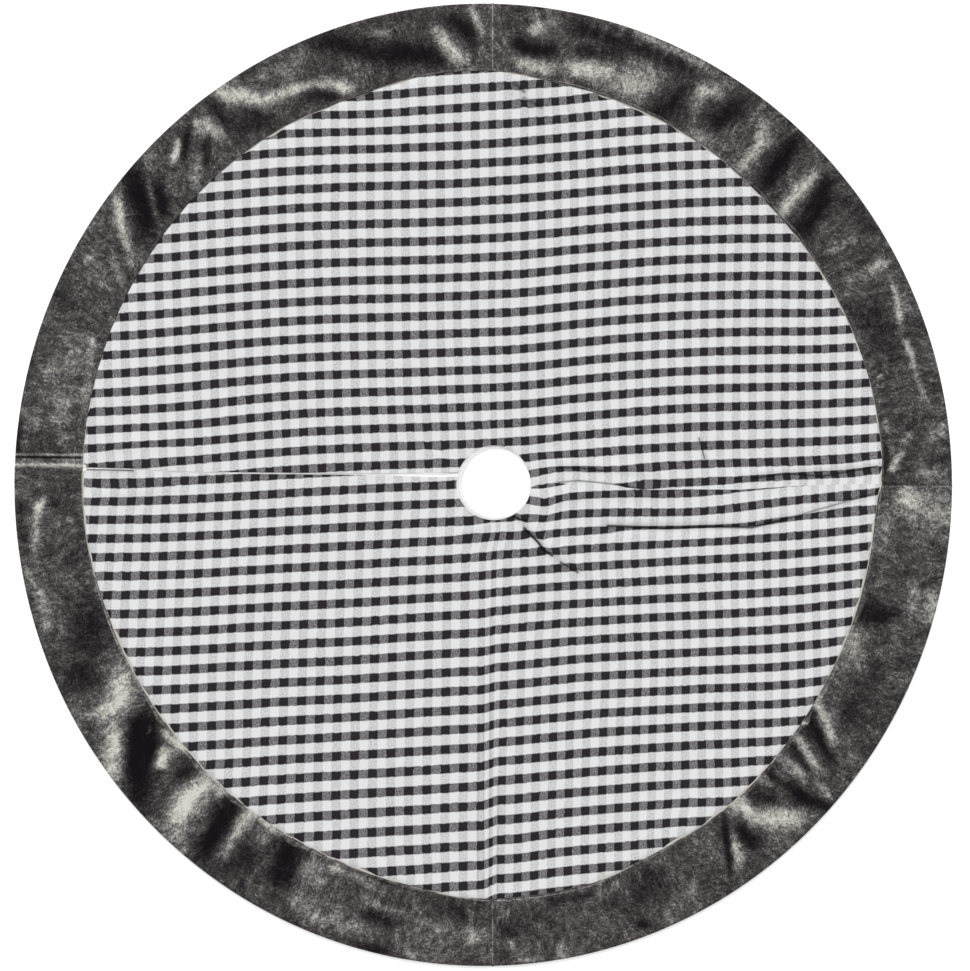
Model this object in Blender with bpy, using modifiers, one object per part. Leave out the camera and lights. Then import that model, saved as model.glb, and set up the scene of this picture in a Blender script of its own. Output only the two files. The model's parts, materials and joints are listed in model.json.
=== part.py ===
"""Round tree skirt lying flat: four sewn quarters round a trunk hole, with a slit that lets the trunk in.

Metres, +Z up, +Y towards twelve o'clock. The origin is on the surface that the skirt lies on, under the
middle of its outline. From the bottom up each quarter is lining, interlining and gingham, with a
crushed velvet border that turns under at the outer edge. Folded tape closes the trunk hole and both
sides of the slit. Quarters join at pressed folds (twelve and six o'clock) and at a sewn seam (three
o'clock), and each turns up and over on its own line; the slit at nine o'clock joins nothing.
"""

import math

import bmesh
import bpy
from mathutils import Vector

# Outline, seen from above.
WIDTH = 1.204
DEPTH = 1.236
BORDER_WIDTH = 0.087
HOLE_RADIUS = 0.048
HOLE_CENTRE = Vector((0.0135, 0.0026))

# Lines that divide it.
FOLD_X = 0.012
SEAM_Y = -0.002
SLIT_OUTER_Y = 0.0225
SLIT_HOLE_Y = 0.016

# Cloth.
LINING_THICK = 0.0006
INTERLINING_THICK = 0.0020
GINGHAM_THICK = 0.0007
VELVET_THICK = 0.0020
VELVET_EDGE = 0.0005  # upright part of its turned edge, against the gingham
TAPE_THICK = 0.0011
TAPE_WIDTH = 0.0040
HEM_WIDTH = 0.0120

# Clearances.
SEWN_GAP = 0.0003  # between pieces that are sewn or laid against each other
LINE_GAP = 0.0004  # across a fold, a seam or the closed slit
TURN_SLACK = 0.0002  # inside a turned velvet edge
STACK_GAP = 0.0004  # between quarters folded on each other

# Facets.
ARC_STEPS = 24
HOLE_STEPS = 10
ROLL_STEPS = 6
TURN_STEPS = 3
SHARP_ANGLE = math.radians(40)

EMPTY_SIZE = 0.05

# Heights of each layer, from the sizes above.
INTERLINING_Z = LINING_THICK + SEWN_GAP
GINGHAM_Z = INTERLINING_Z + INTERLINING_THICK + SEWN_GAP
GINGHAM_TOP = GINGHAM_Z + GINGHAM_THICK
VELVET_TURN = VELVET_THICK + TURN_SLACK
TOP = GINGHAM_Z + VELVET_EDGE + VELVET_TURN

# Joint lines lie above the cloth, so that a quarter turned right over rests on what is under it.
FOLD_Z = TOP + STACK_GAP / 2
SEAM_Z = 2 * FOLD_Z + STACK_GAP / 2

MATERIALS = {
    "gingham": ((0.36, 0.35, 0.36), 0.85),
    "velvet": ((0.035, 0.033, 0.034), 0.55),
    "lining": ((0.85, 0.85, 0.84), 0.80),
    "interlining": ((0.78, 0.77, 0.74), 0.95),
    "tape": ((0.90, 0.90, 0.90), 0.80),
}


class Line:
    """A straight line seen from above, running outwards from inside the trunk hole."""

    def __init__(self, origin, direction):
        self.origin = Vector(origin)
        self.direction = Vector(direction).normalized()
        self.left = Vector((-self.direction.y, self.direction.x))


class Oval:
    """An oval seen from above."""

    def __init__(self, centre, across, down):
        self.centre, self.across, self.down = centre, across, down

    def inset(self, distance):
        return Oval(self.centre, self.across - distance, self.down - distance)

    def point(self, angle):
        return self.centre + Vector((self.across * math.cos(angle), self.down * math.sin(angle)))

    def crossing(self, line, offset):
        """The angle at which the line, moved offset to its left, leaves the oval."""
        start = line.origin + offset * line.left - self.centre
        start = Vector((start.x / self.across, start.y / self.down))
        step = Vector((line.direction.x / self.across, line.direction.y / self.down))
        a, b, c = step.dot(step), start.dot(step), start.dot(start) - 1
        leaving = start + step * ((math.sqrt(b * b - a * c) - b) / a)
        return math.atan2(leaving.y, leaving.x)


class Quarter:
    """The cloth between two lines, anticlockwise. A taped side is cut back by the tape's width."""

    def __init__(self, name, start, end, taped_start=False, taped_end=False):
        self.name, self.start, self.end = name, start, end
        tape = TAPE_WIDTH + SEWN_GAP
        self.start_trim = tape if taped_start else 0
        self.end_trim = tape if taped_end else 0

    def point(self, oval, along, trimmed):
        """The point on the oval at a share of the way from one side of the quarter to the other."""
        first = oval.crossing(self.start, LINE_GAP / 2 + trimmed * self.start_trim)
        last = oval.crossing(self.end, -LINE_GAP / 2 - trimmed * self.end_trim)
        if last < first:
            last += 2 * math.pi
        return oval.point(first + (last - first) * along)


def slit_line():
    """From the outer edge's point at nine o'clock through the point where the slit meets the hole."""
    outer = Vector((-WIDTH / 2, SLIT_OUTER_Y))
    at_hole = Vector((HOLE_CENTRE.x - HOLE_RADIUS, SLIT_HOLE_Y))
    outwards = (outer - at_hole).normalized()
    return Line(at_hole - outwards * HOLE_RADIUS, outwards)


OUTLINE = Oval(Vector((0, 0)), WIDTH / 2, DEPTH / 2)
BORDER_SEAM = OUTLINE.inset(BORDER_WIDTH + SEWN_GAP)
HEM_SEAM = OUTLINE.inset(HEM_WIDTH + SEWN_GAP)
HOLE = Oval(HOLE_CENTRE, HOLE_RADIUS, HOLE_RADIUS)
FACING_EDGE = HOLE.inset(TAPE_WIDTH + SEWN_GAP)

UPPER_FOLD = Line((FOLD_X, HOLE_CENTRE.y), (0, 1))
LOWER_FOLD = Line((FOLD_X, HOLE_CENTRE.y), (0, -1))
SEAM = Line((HOLE_CENTRE.x, SEAM_Y), (1, 0))
SLIT = slit_line()

LOWER_RIGHT = Quarter("lower_right", LOWER_FOLD, SEAM)
UPPER_RIGHT = Quarter("upper_right", SEAM, UPPER_FOLD)
UPPER_LEFT = Quarter("upper_left", UPPER_FOLD, SLIT, taped_end=True)
LOWER_LEFT = Quarter("lower_left", SLIT, LOWER_FOLD, taped_start=True)


def clear_scene():
    for item in list(bpy.data.objects):
        bpy.data.objects.remove(item, do_unlink=True)


def new_collection(name):
    collection = bpy.data.collections.new(name)
    bpy.context.scene.collection.children.link(collection)
    return collection


def make_materials():
    made = {}
    for name, (colour, roughness) in MATERIALS.items():
        material = bpy.data.materials.new(name)
        material.use_nodes = True
        shader = material.node_tree.nodes["Principled BSDF"]
        shader.inputs["Base Color"].default_value = (*colour, 1)
        shader.inputs["Roughness"].default_value = roughness
        shader.inputs["Metallic"].default_value = 0
        made[name] = material
    return made


def joint_empty(name, place, parent, collection):
    """An empty on a joint's axis, which carries what turns there."""
    empty = bpy.data.objects.new(name, None)
    empty.empty_display_size = EMPTY_SIZE
    collection.objects.link(empty)
    empty.location = place
    if parent:
        empty.parent = parent
        empty.location -= parent.matrix_world.translation
    bpy.context.view_layer.update()
    return empty


def shell(name, rows, columns, place, thickness, material, carrier, collection):
    """A surface whose point at shares (u, v) is place(u, v), thickened away from its outer face."""
    bm = bmesh.new()
    bmesh.ops.create_grid(bm, x_segments=rows, y_segments=columns, size=0.5)
    origin = carrier.matrix_world.translation
    for vertex in bm.verts:
        vertex.co = place(vertex.co.x + 0.5, vertex.co.y + 0.5) - origin
    mesh = bpy.data.meshes.new(name)
    bm.to_mesh(mesh)
    bm.free()
    mesh.materials.append(material)
    piece = bpy.data.objects.new(name, mesh)
    collection.objects.link(piece)
    piece.parent = carrier
    cloth = piece.modifiers.new("cloth", "SOLIDIFY")
    cloth.thickness = thickness
    cloth.offset = -1
    cloth.use_even_offset = True
    cloth.use_quality_normals = True
    mesh.shade_smooth()
    mesh.set_sharp_from_angle(angle=SHARP_ANGLE)


def flat_place(quarter, inner, outer, height):
    """Flat cloth between two ovals: each point of the inner one runs straight to the outer one's."""

    def place(u, v):
        near = quarter.point(inner, v, trimmed=True)
        far = quarter.point(outer, v, trimmed=True)
        return near.lerp(far, u).to_3d() + Vector((0, 0, height))

    return place


def turn(centre, radius, start, end, steps):
    """Points of an arc, in a section, from one angle to another in degrees."""
    for step in range(steps + 1):
        angle = math.radians(start + (end - start) * step / steps)
        yield centre[0] + radius * math.cos(angle), centre[1] + radius * math.sin(angle)


def velvet_section():
    """(inset from the outline, height), from the turned edge at the border seam, over the top, to the hem."""
    seam_turn = turn((BORDER_WIDTH - VELVET_TURN, TOP - VELVET_TURN), VELVET_TURN, 0, 90, TURN_STEPS)
    outer_roll = turn((TOP / 2, TOP / 2), TOP / 2, 90, 270, ROLL_STEPS)
    return [(BORDER_WIDTH, GINGHAM_Z), *seam_turn, *outer_roll, (HEM_WIDTH, 0)]


def tape_section():
    """(distance from the tape's folded edge, height), from its lower lap, round the fold, to its upper lap."""
    fold = turn((GINGHAM_TOP / 2, GINGHAM_TOP / 2), GINGHAM_TOP / 2, 270, 90, ROLL_STEPS)
    return [(TAPE_WIDTH, 0), *fold, (TAPE_WIDTH, GINGHAM_TOP)]


def at_share(points, share):
    return points[round(share * (len(points) - 1))]


def velvet_place(quarter):
    section = velvet_section()

    def place(u, v):
        inset, height = at_share(section, u)
        return quarter.point(OUTLINE.inset(inset), v, trimmed=False).to_3d() + Vector((0, 0, height))

    return place


def facing_place(quarter):
    section = tape_section()

    def place(u, v):
        back, height = at_share(section, u)
        return quarter.point(FACING_EDGE.inset(-back), v, trimmed=False).to_3d() + Vector((0, 0, height))

    return place


def slit_tape_place(side):
    """Tape along the slit, from the hole to the border seam; side is 1 on the slit's left, -1 on its right."""
    section = tape_section()

    def place(u, v):
        back, height = at_share(section, u)
        offset = side * (LINE_GAP / 2 + back)
        near = HOLE.point(HOLE.crossing(SLIT, offset))
        far = BORDER_SEAM.point(BORDER_SEAM.crossing(SLIT, offset))
        along = v if side < 0 else 1 - v
        return near.lerp(far, along).to_3d() + Vector((0, 0, height))

    return place


def build_quarter(quarter, carrier, materials, collection):
    """The five pieces that every quarter has."""

    def piece(name, rows, place, thickness, material, columns=ARC_STEPS):
        shell(f"{name}_{quarter.name}", rows, columns, place, thickness, materials[material],
              carrier, collection)

    interlining_top = INTERLINING_Z + INTERLINING_THICK
    piece("lining", 1, flat_place(quarter, HOLE, HEM_SEAM, LINING_THICK), LINING_THICK, "lining")
    piece("interlining", 1, flat_place(quarter, HOLE, HEM_SEAM, interlining_top),
          INTERLINING_THICK, "interlining")
    piece("gingham", 1, flat_place(quarter, HOLE, BORDER_SEAM, GINGHAM_TOP), GINGHAM_THICK, "gingham")
    piece("velvet_border", len(velvet_section()) - 1, velvet_place(quarter), VELVET_THICK, "velvet")
    piece("hole_facing", len(tape_section()) - 1, facing_place(quarter), TAPE_THICK, "tape", HOLE_STEPS)


def build_slit_tape(name, side, carrier, materials, collection):
    shell(name, len(tape_section()) - 1, 1, slit_tape_place(side), TAPE_THICK, materials["tape"],
          carrier, collection)


def main():
    clear_scene()
    skirt = new_collection("tree_skirt")
    materials = make_materials()
    base = joint_empty("floor_origin", (0, 0, 0), None, skirt)
    seam_joint = joint_empty("seam_joint", (0, SEAM_Y, SEAM_Z), base, skirt)
    upper_joint = joint_empty("upper_fold_joint", (FOLD_X, 0, FOLD_Z), seam_joint, skirt)
    lower_joint = joint_empty("lower_fold_joint", (FOLD_X, 0, FOLD_Z), base, skirt)
    build_quarter(LOWER_RIGHT, base, materials, skirt)
    build_quarter(UPPER_RIGHT, seam_joint, materials, skirt)
    build_quarter(UPPER_LEFT, upper_joint, materials, skirt)
    build_quarter(LOWER_LEFT, lower_joint, materials, skirt)
    build_slit_tape("slit_tape_upper", -1, upper_joint, materials, skirt)
    build_slit_tape("slit_tape_lower", 1, lower_joint, materials, skirt)


main()
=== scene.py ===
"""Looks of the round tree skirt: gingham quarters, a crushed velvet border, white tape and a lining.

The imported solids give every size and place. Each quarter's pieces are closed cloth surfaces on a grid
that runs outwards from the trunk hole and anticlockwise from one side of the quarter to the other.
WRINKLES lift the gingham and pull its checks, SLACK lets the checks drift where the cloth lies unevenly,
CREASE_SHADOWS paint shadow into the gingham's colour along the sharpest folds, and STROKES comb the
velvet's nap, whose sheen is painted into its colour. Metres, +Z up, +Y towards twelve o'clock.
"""

import json
import logging
import math
from dataclasses import dataclass, field
from enum import Enum
from typing import Sequence

import bpy
import numpy as np
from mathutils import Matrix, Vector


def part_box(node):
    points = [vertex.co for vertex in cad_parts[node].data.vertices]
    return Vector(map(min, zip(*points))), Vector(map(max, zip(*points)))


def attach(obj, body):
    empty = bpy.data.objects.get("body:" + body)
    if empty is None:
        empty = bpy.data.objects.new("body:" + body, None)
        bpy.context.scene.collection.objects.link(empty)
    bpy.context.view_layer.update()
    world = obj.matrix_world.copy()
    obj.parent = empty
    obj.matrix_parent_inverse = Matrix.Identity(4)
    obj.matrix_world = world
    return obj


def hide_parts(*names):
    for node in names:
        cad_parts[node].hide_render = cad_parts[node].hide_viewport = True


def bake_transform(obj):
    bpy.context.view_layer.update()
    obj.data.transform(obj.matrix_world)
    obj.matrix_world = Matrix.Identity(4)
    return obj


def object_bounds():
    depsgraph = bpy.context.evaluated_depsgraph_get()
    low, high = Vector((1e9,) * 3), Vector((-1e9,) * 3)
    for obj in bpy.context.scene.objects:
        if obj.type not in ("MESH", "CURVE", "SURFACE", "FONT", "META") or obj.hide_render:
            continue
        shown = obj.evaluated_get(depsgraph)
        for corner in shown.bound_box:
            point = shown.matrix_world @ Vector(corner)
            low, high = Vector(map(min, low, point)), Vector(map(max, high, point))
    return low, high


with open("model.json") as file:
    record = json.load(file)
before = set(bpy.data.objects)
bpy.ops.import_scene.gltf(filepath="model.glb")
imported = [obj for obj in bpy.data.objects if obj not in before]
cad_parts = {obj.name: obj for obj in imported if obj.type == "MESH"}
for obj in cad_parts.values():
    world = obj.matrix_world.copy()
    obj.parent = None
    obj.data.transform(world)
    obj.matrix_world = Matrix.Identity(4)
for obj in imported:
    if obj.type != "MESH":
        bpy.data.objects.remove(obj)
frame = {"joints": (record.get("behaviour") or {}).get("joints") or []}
CAD_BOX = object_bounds()

LOG = logging.getLogger("tree_skirt")

Array = np.ndarray
Point = tuple[float, float]
Colour = tuple[float, float, float]
Socket = bpy.types.NodeSocket
Node = bpy.types.Node
Tree = bpy.types.NodeTree
Material = bpy.types.Material
Piece = bpy.types.Object


# ---- Sizes and plan ----

SEWN_GAP = 0.0003  # between pieces that are sewn or laid against each other
LINE_GAP = 0.0004  # across a fold, a seam or the closed slit
TAPE_WIDTH = 0.0040  # of the tape that shows round the hole
HEM_WIDTH = 0.0120  # of the velvet turned in under the edge
QUARTER_NAMES = ("lower_right", "upper_right", "upper_left", "lower_left")


class Side(Enum):
    """The halves of the gingham, which are two cuts of cloth sewn together at three o'clock."""

    UPPER = "upper"
    LOWER = "lower"


@dataclass(frozen=True)
class Line:
    """A straight line seen from above, running outwards from inside the trunk hole.

    Attributes:
        origin: where it starts.
        heading: its direction, anticlockwise from +X, in radians.
    """

    origin: Point
    heading: float

    def distance(self, x: Array, y: Array) -> Array:
        """How far each place lies to the line's left."""
        return (y - self.origin[1]) * math.cos(self.heading) - (x - self.origin[0]) * math.sin(self.heading)

    def along(self, x: Array, y: Array) -> Array:
        """How far along the line each place lies."""
        return (x - self.origin[0]) * math.cos(self.heading) + (y - self.origin[1]) * math.sin(self.heading)


@dataclass(frozen=True)
class Oval:
    """An oval seen from above."""

    centre: Point
    across: float
    down: float

    def inset(self, distance: float) -> "Oval":
        """The oval whose half-axes are shorter by the distance."""
        return Oval(self.centre, self.across - distance, self.down - distance)

    def point(self, angle: Array) -> tuple[Array, Array]:
        """Places on the oval: the centre plus each half-axis times the angle's cosine and sine."""
        return (self.centre[0] + self.across * np.cos(angle), self.centre[1] + self.down * np.sin(angle))

    def crossing(self, line: Line, offset: float) -> float:
        """Where a line leaves the oval.

        The line is scaled with the oval to a unit circle, and the larger root of the quadratic is taken.

        Args:
            line: the line, which starts inside.
            offset: how far the line is moved to its left.

        Returns:
            The oval's own angle at the crossing.
        """
        cos, sin = math.cos(line.heading), math.sin(line.heading)
        start_x = (line.origin[0] - offset * sin - self.centre[0]) / self.across
        start_y = (line.origin[1] + offset * cos - self.centre[1]) / self.down
        step_x, step_y = cos / self.across, sin / self.down
        a = step_x**2 + step_y**2
        b = start_x * step_x + start_y * step_y
        c = start_x**2 + start_y**2 - 1
        reach = (math.sqrt(b * b - a * c) - b) / a
        return math.atan2(start_y + step_y * reach, start_x + step_x * reach)

    def depth(self, x: Array, y: Array) -> Array:
        """Roughly how far inside the oval each place lies, measured towards its centre.

        Args:
            x: places' x.
            y: places' y.

        Returns:
            The depths, negative outside.
        """
        dx, dy = x - self.centre[0], y - self.centre[1]
        share = np.hypot(dx / self.across, dy / self.down)
        return (1 - share) * np.hypot(dx, dy) / np.maximum(share, 1e-6)


@dataclass(frozen=True)
class Plan:
    """The skirt seen from above and its heights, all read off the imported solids.

    Attributes:
        outline: the skirt's edge.
        border_seam: the border's inner seam, before it wanders.
        hole: the raw edge of the trunk hole.
        facing_edge: radius of the facing's folded edge.
        border_width: from the outline to the border's seam.
        fold_x: where the pressed folds lie.
        seam_y: where the three o'clock seam lies.
        slit: the closed slit.
        lining_top: height of the lining's upper face.
        wadding: heights of the interlining's two faces, the lower one first.
        gingham_top: height of the gingham's upper face.
        velvet_foot: height of the gingham's underside, where the velvet is turned under.
        top: height of the whole skirt.
    """

    outline: Oval
    border_seam: Oval
    hole: Oval
    facing_edge: float
    border_width: float
    fold_x: float
    seam_y: float
    slit: Line
    lining_top: float
    wadding: tuple[float, float]
    gingham_top: float
    velvet_foot: float
    top: float

    # How far inside the outline the border's seam runs, by angle anticlockwise from three o'clock.
    SEAM_KNOTS = (
        (0, 91.0), (4, 88.5), (15, 89.0), (25, 91.5), (35, 94.0), (45, 96.0), (55, 94.5), (70, 94.0),
        (80, 92.5), (85, 88.5), (88, 84.5), (92, 84.0), (97, 86.0), (102, 89.0), (107, 92.0), (112, 91.0),
        (118, 88.5), (128, 86.0), (140, 84.5), (160, 86.0), (177, 86.5), (188, 88.5), (195, 92.0),
        (202, 95.0), (212, 97.5), (230, 98.5), (245, 99.0), (252, 97.5), (258, 95.5), (263, 91.5),
        (267, 87.0), (271, 84.5), (285, 84.5), (288, 87.5), (291, 91.0), (297, 94.0), (305, 93.0),
        (312, 94.5), (320, 96.5), (330, 98.0), (345, 98.5), (354, 98.0), (358, 95.0), (360, 91.0),
    )

    def wander(self, x: Array, y: Array) -> Array:
        """How much further in than the border's width its seam runs, in each place's direction.

        Args:
            x: places' x.
            y: places' y.

        Returns:
            The extra insets, in metres.
        """
        angles, insets = zip(*self.SEAM_KNOTS)
        angle = np.degrees(np.arctan2(y, x)) % 360
        return np.interp(angle, angles, insets) * 1e-3 - self.border_width

    def from_seam(self, x: Array, y: Array) -> Array:
        """How far inside the border's seam each place lies."""
        return self.border_seam.depth(x, y) - self.wander(x, y)

    @classmethod
    def from_frame(cls) -> "Plan":
        """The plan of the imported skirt.

        Returns:
            Ovals from the widest places of each ring of nodes, heights from their tops and undersides.
        """
        low, high = CAD_BOX
        facing = [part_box(f"hole_facing_{name}") for name in QUARTER_NAMES]
        gingham = [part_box(f"gingham_{name}") for name in QUARTER_NAMES]
        west = min(box[0].x for box in facing)
        east = max(box[1].x for box in facing)
        south = min(box[0].y for box in facing)
        north = max(box[1].y for box in facing)
        hole = (east - west) / 2 + SEWN_GAP
        seam_across = max(box[1].x for box in gingham)
        upper_tape, lower_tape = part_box("slit_tape_upper"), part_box("slit_tape_lower")
        outer = (lower_tape[0].x, lower_tape[1].y + LINE_GAP / 2)
        inner = (upper_tape[1].x, upper_tape[0].y - LINE_GAP / 2)
        heading = math.atan2(outer[1] - inner[1], outer[0] - inner[0])
        origin = (inner[0] - hole * math.cos(heading), inner[1] - hole * math.sin(heading))
        joints = {joint["name"]: joint for joint in frame["joints"]}
        wadding, top_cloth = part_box("interlining_lower_right"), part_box("gingham_lower_right")
        border = high.x - seam_across - SEWN_GAP
        return cls(
            outline=Oval((0.0, 0.0), high.x, high.y),
            border_seam=Oval((0.0, 0.0), seam_across, high.y - border - SEWN_GAP),
            hole=Oval(((west + east) / 2, (south + north) / 2), hole, hole),
            facing_edge=hole - SEWN_GAP - TAPE_WIDTH,
            border_width=border,
            fold_x=joints["upper_fold"]["pos_m"][0],
            seam_y=joints["seam_turn"]["pos_m"][1],
            slit=Line(origin, heading),
            lining_top=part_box("lining_lower_right")[1].z,
            wadding=(wadding[0].z, wadding[1].z),
            gingham_top=top_cloth[1].z,
            velvet_foot=top_cloth[0].z,
            top=high.z,
        )



@dataclass(frozen=True)
class Quarter:
    """The cloth between two lines, anticlockwise.

    Attributes:
        name: the quarter's name, which ends its nodes' names and is its body's name.
        side: which half of the gingham it was cut from.
        start: the line on its clockwise side.
        end: the line on its anticlockwise side.
        hangs_on: the body it bends away from, or nothing for the quarter that lies still.
        bend: where that bend starts and ends, in plan.
    """

    name: str
    side: Side
    start: Line
    end: Line
    hangs_on: str | None = None
    bend: tuple[Point, Point] | None = None

    def grid(self, inner: Oval, outer: Oval, out: Array, round_: Array, plan: Plan | None = None) -> tuple[
            Array, Array]:
        """Places of a grid between two ovals.

        Each inner place runs straight to the outer place at the same share of the way round.

        Args:
            inner: the oval at share nought outwards.
            outer: the oval at share one outwards.
            out: shares of the way out, one for each row.
            round_: shares of the way round, one for each column.
            plan: given where the outer places follow the wandering seam of the border.

        Returns:
            The x and the y of each place, rows by columns.
        """
        near_x, near_y = self.arc(inner, round_)
        far_x, far_y = self.arc(outer, round_)
        if plan is not None:
            back = 1 - plan.wander(far_x, far_y) / np.hypot(far_x, far_y)
            far_x, far_y = far_x * back, far_y * back
        share = out[:, None]
        return near_x + (far_x - near_x) * share, near_y + (far_y - near_y) * share

    def arc(self, oval: Oval, round_: Array) -> tuple[Array, Array]:
        """Places on an oval at shares of the way from the quarter's one side to the other.

        Args:
            oval: the oval.
            round_: the shares.

        Returns:
            The places' x and y.
        """
        first, last = oval.crossing(self.start, 0.0), oval.crossing(self.end, 0.0)
        if last < first:
            last += 2 * math.pi
        return oval.point(first + (last - first) * round_)

    def attach(self, piece: Piece, bends: bool) -> None:
        """Makes a finished piece ride with the quarter, or, if it reaches the joint with the quarter's
        neighbour, bakes its place into its mesh and leaves it unattached.

        Args:
            piece: the piece.
            bends: whether it reaches that joint.
        """
        if self.hangs_on is None or not bends:
            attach(piece, self.name)
        else:
            start, end = self.bend
            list(start)
            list(end)
            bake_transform(piece)


def smooth(value: Array, low: float, high: float) -> Array:
    """Nought below low, one above high, and 3t squared less 2t cubed between."""
    t = np.clip((value - low) / (high - low), 0, 1)
    return t * t * (3 - 2 * t)


def crowded(count: int, crowding: float) -> Array:
    """Shares from nought to one, closer together at both ends: q less crowding times sin(2 pi q) / 2 pi."""
    q = np.linspace(0, 1, count)
    return q - crowding * np.sin(2 * math.pi * q) / (2 * math.pi)


# ---- Wrinkles and grain ----


@dataclass(frozen=True)
class Wrinkle:
    """One fold in the gingham, along a bowed line.

    Attributes:
        start: one end of the line.
        end: its other end.
        width: how far from the line the fold has mostly died away.
        lift: height of its ridge, or depth of its valley when negative.
        tuck: cloth drawn into it from each side, so that the checks crowd on the line.
        bow: how far the middle of the line stands to the left of the straight way.
        lean: how much the ridge falls into a valley on its right.
    """

    start: Point
    end: Point
    width: float
    lift: float = 0.0
    tuck: float = 0.0
    bow: float = 0.0
    lean: float = 0.0

    # How the fold fades at its ends, in shares of its length, and how steeply a lean turns it over.
    FADE_LEAST = 0.12
    FADE_MOST = 0.35
    FADE_WIDTHS = 1.2
    BOWED = 0.9
    LEANING = 1.5

    def frame(self, x: Array, y: Array) -> tuple[Array, Array, Point]:
        """Where each place lies against the fold.

        Args:
            x: places' x.
            y: places' y.

        Returns:
            Signed distance in widths, how strong the fold is there, and the unit vector to its left.
        """
        dx, dy = self.end[0] - self.start[0], self.end[1] - self.start[1]
        length = math.hypot(dx, dy)
        ahead = (dx / length, dy / length)
        left = (-ahead[1], ahead[0])
        along = ((x - self.start[0]) * ahead[0] + (y - self.start[1]) * ahead[1]) / length
        across = (x - self.start[0]) * left[0] + (y - self.start[1]) * left[1]
        across = across - self.bow * 4 * along * (1 - along) * (np.abs(along - 0.5) < self.BOWED)
        fade = min(self.FADE_MOST, self.FADE_WIDTHS * self.width / length + self.FADE_LEAST)
        strength = smooth(along, -fade, fade) * (1 - smooth(along, 1 - fade, 1 + fade))
        return across / self.width, strength, left

    def height(self, x: Array, y: Array) -> Array:
        """Lift times a bell curve of the distance, plus lean times the same curve's slope.

        Args:
            x: places' x.
            y: places' y.

        Returns:
            The heights.
        """
        s, strength, _ = self.frame(x, y)
        bell = np.exp(-s * s)
        return self.lift * strength * bell * (1 + self.lean * self.LEANING * s)

    def pull(self, x: Array, y: Array) -> tuple[Array, Array]:
        """How far off each place's cloth would lie when flat: tuck times distance times a bell curve.

        Args:
            x: places' x.
            y: places' y.

        Returns:
            The way in x and in y.
        """
        s, strength, left = self.frame(x, y)
        move = self.tuck * s * strength * np.exp(-s * s)
        return left[0] * move, left[1] * move


@dataclass(frozen=True)
class Count:
    """How many repeats of the check lie up to a place, along one grain of one cut of cloth.

    Attributes:
        start: the count at the origin.
        across: repeats a metre towards +X.
        up: repeats a metre towards +Y.
        bows: how the grain curves, for x squared, xy and y squared.
        fold: repeats lost across the pressed fold, and more of them for each metre towards +Y.
        beyond: further repeats a metre to the right of the fold.
        ripple: a slow wave's height, in repeats.
        wave: the length of that wave along X.
        fold_x: where the loss across the pressed fold begins.
    """

    start: float
    across: float
    up: float
    bows: tuple[float, float, float]
    fold: tuple[float, float]
    beyond: float
    ripple: float = 0.0
    wave: float = 0.48
    fold_x: float = 0.001

    FOLD_WIDTH = 0.024
    BEYOND_X = 0.016

    def at(self, x: Array, y: Array) -> Array:
        """A quadratic in x and y, a smooth step over the pressed fold, and a slope beyond it.

        Args:
            x: places' x.
            y: places' y.

        Returns:
            The counts.
        """
        step = smooth(x, self.fold_x, self.fold_x + self.FOLD_WIDTH)
        return (
            self.start + self.across * x + self.up * y
            + self.bows[0] * x * x + self.bows[1] * x * y + self.bows[2] * y * y
            + step * (self.fold[0] + self.fold[1] * y)
            + self.beyond * np.maximum(x - self.BEYOND_X, 0)
            + self.ripple * np.cos(2 * math.pi * x / self.wave)
        )


GRAIN: dict[Side, tuple[Count, Count]] = {
    Side.UPPER: (
        Count(27.79, 45.17, 0.75, (1.14, -1.64, -0.82), (0.18, -0.18), 2.41),
        Count(24.86, 2.79, -42.23, (0.35, -0.06, 1.18), (0.01, -0.05), -0.39, ripple=-0.12),
    ),
    Side.LOWER: (
        Count(27.45, 44.36, -0.67, (0.44, 3.77, -0.73), (0.51, -0.82), 3.83, fold_x=-0.004),
        Count(24.66, 3.31, -42.55, (2.57, -1.29, -3.4), (-0.04, -0.66), -1.66, ripple=-0.06, wave=0.42,
              fold_x=-0.004),
    ),
}

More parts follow.
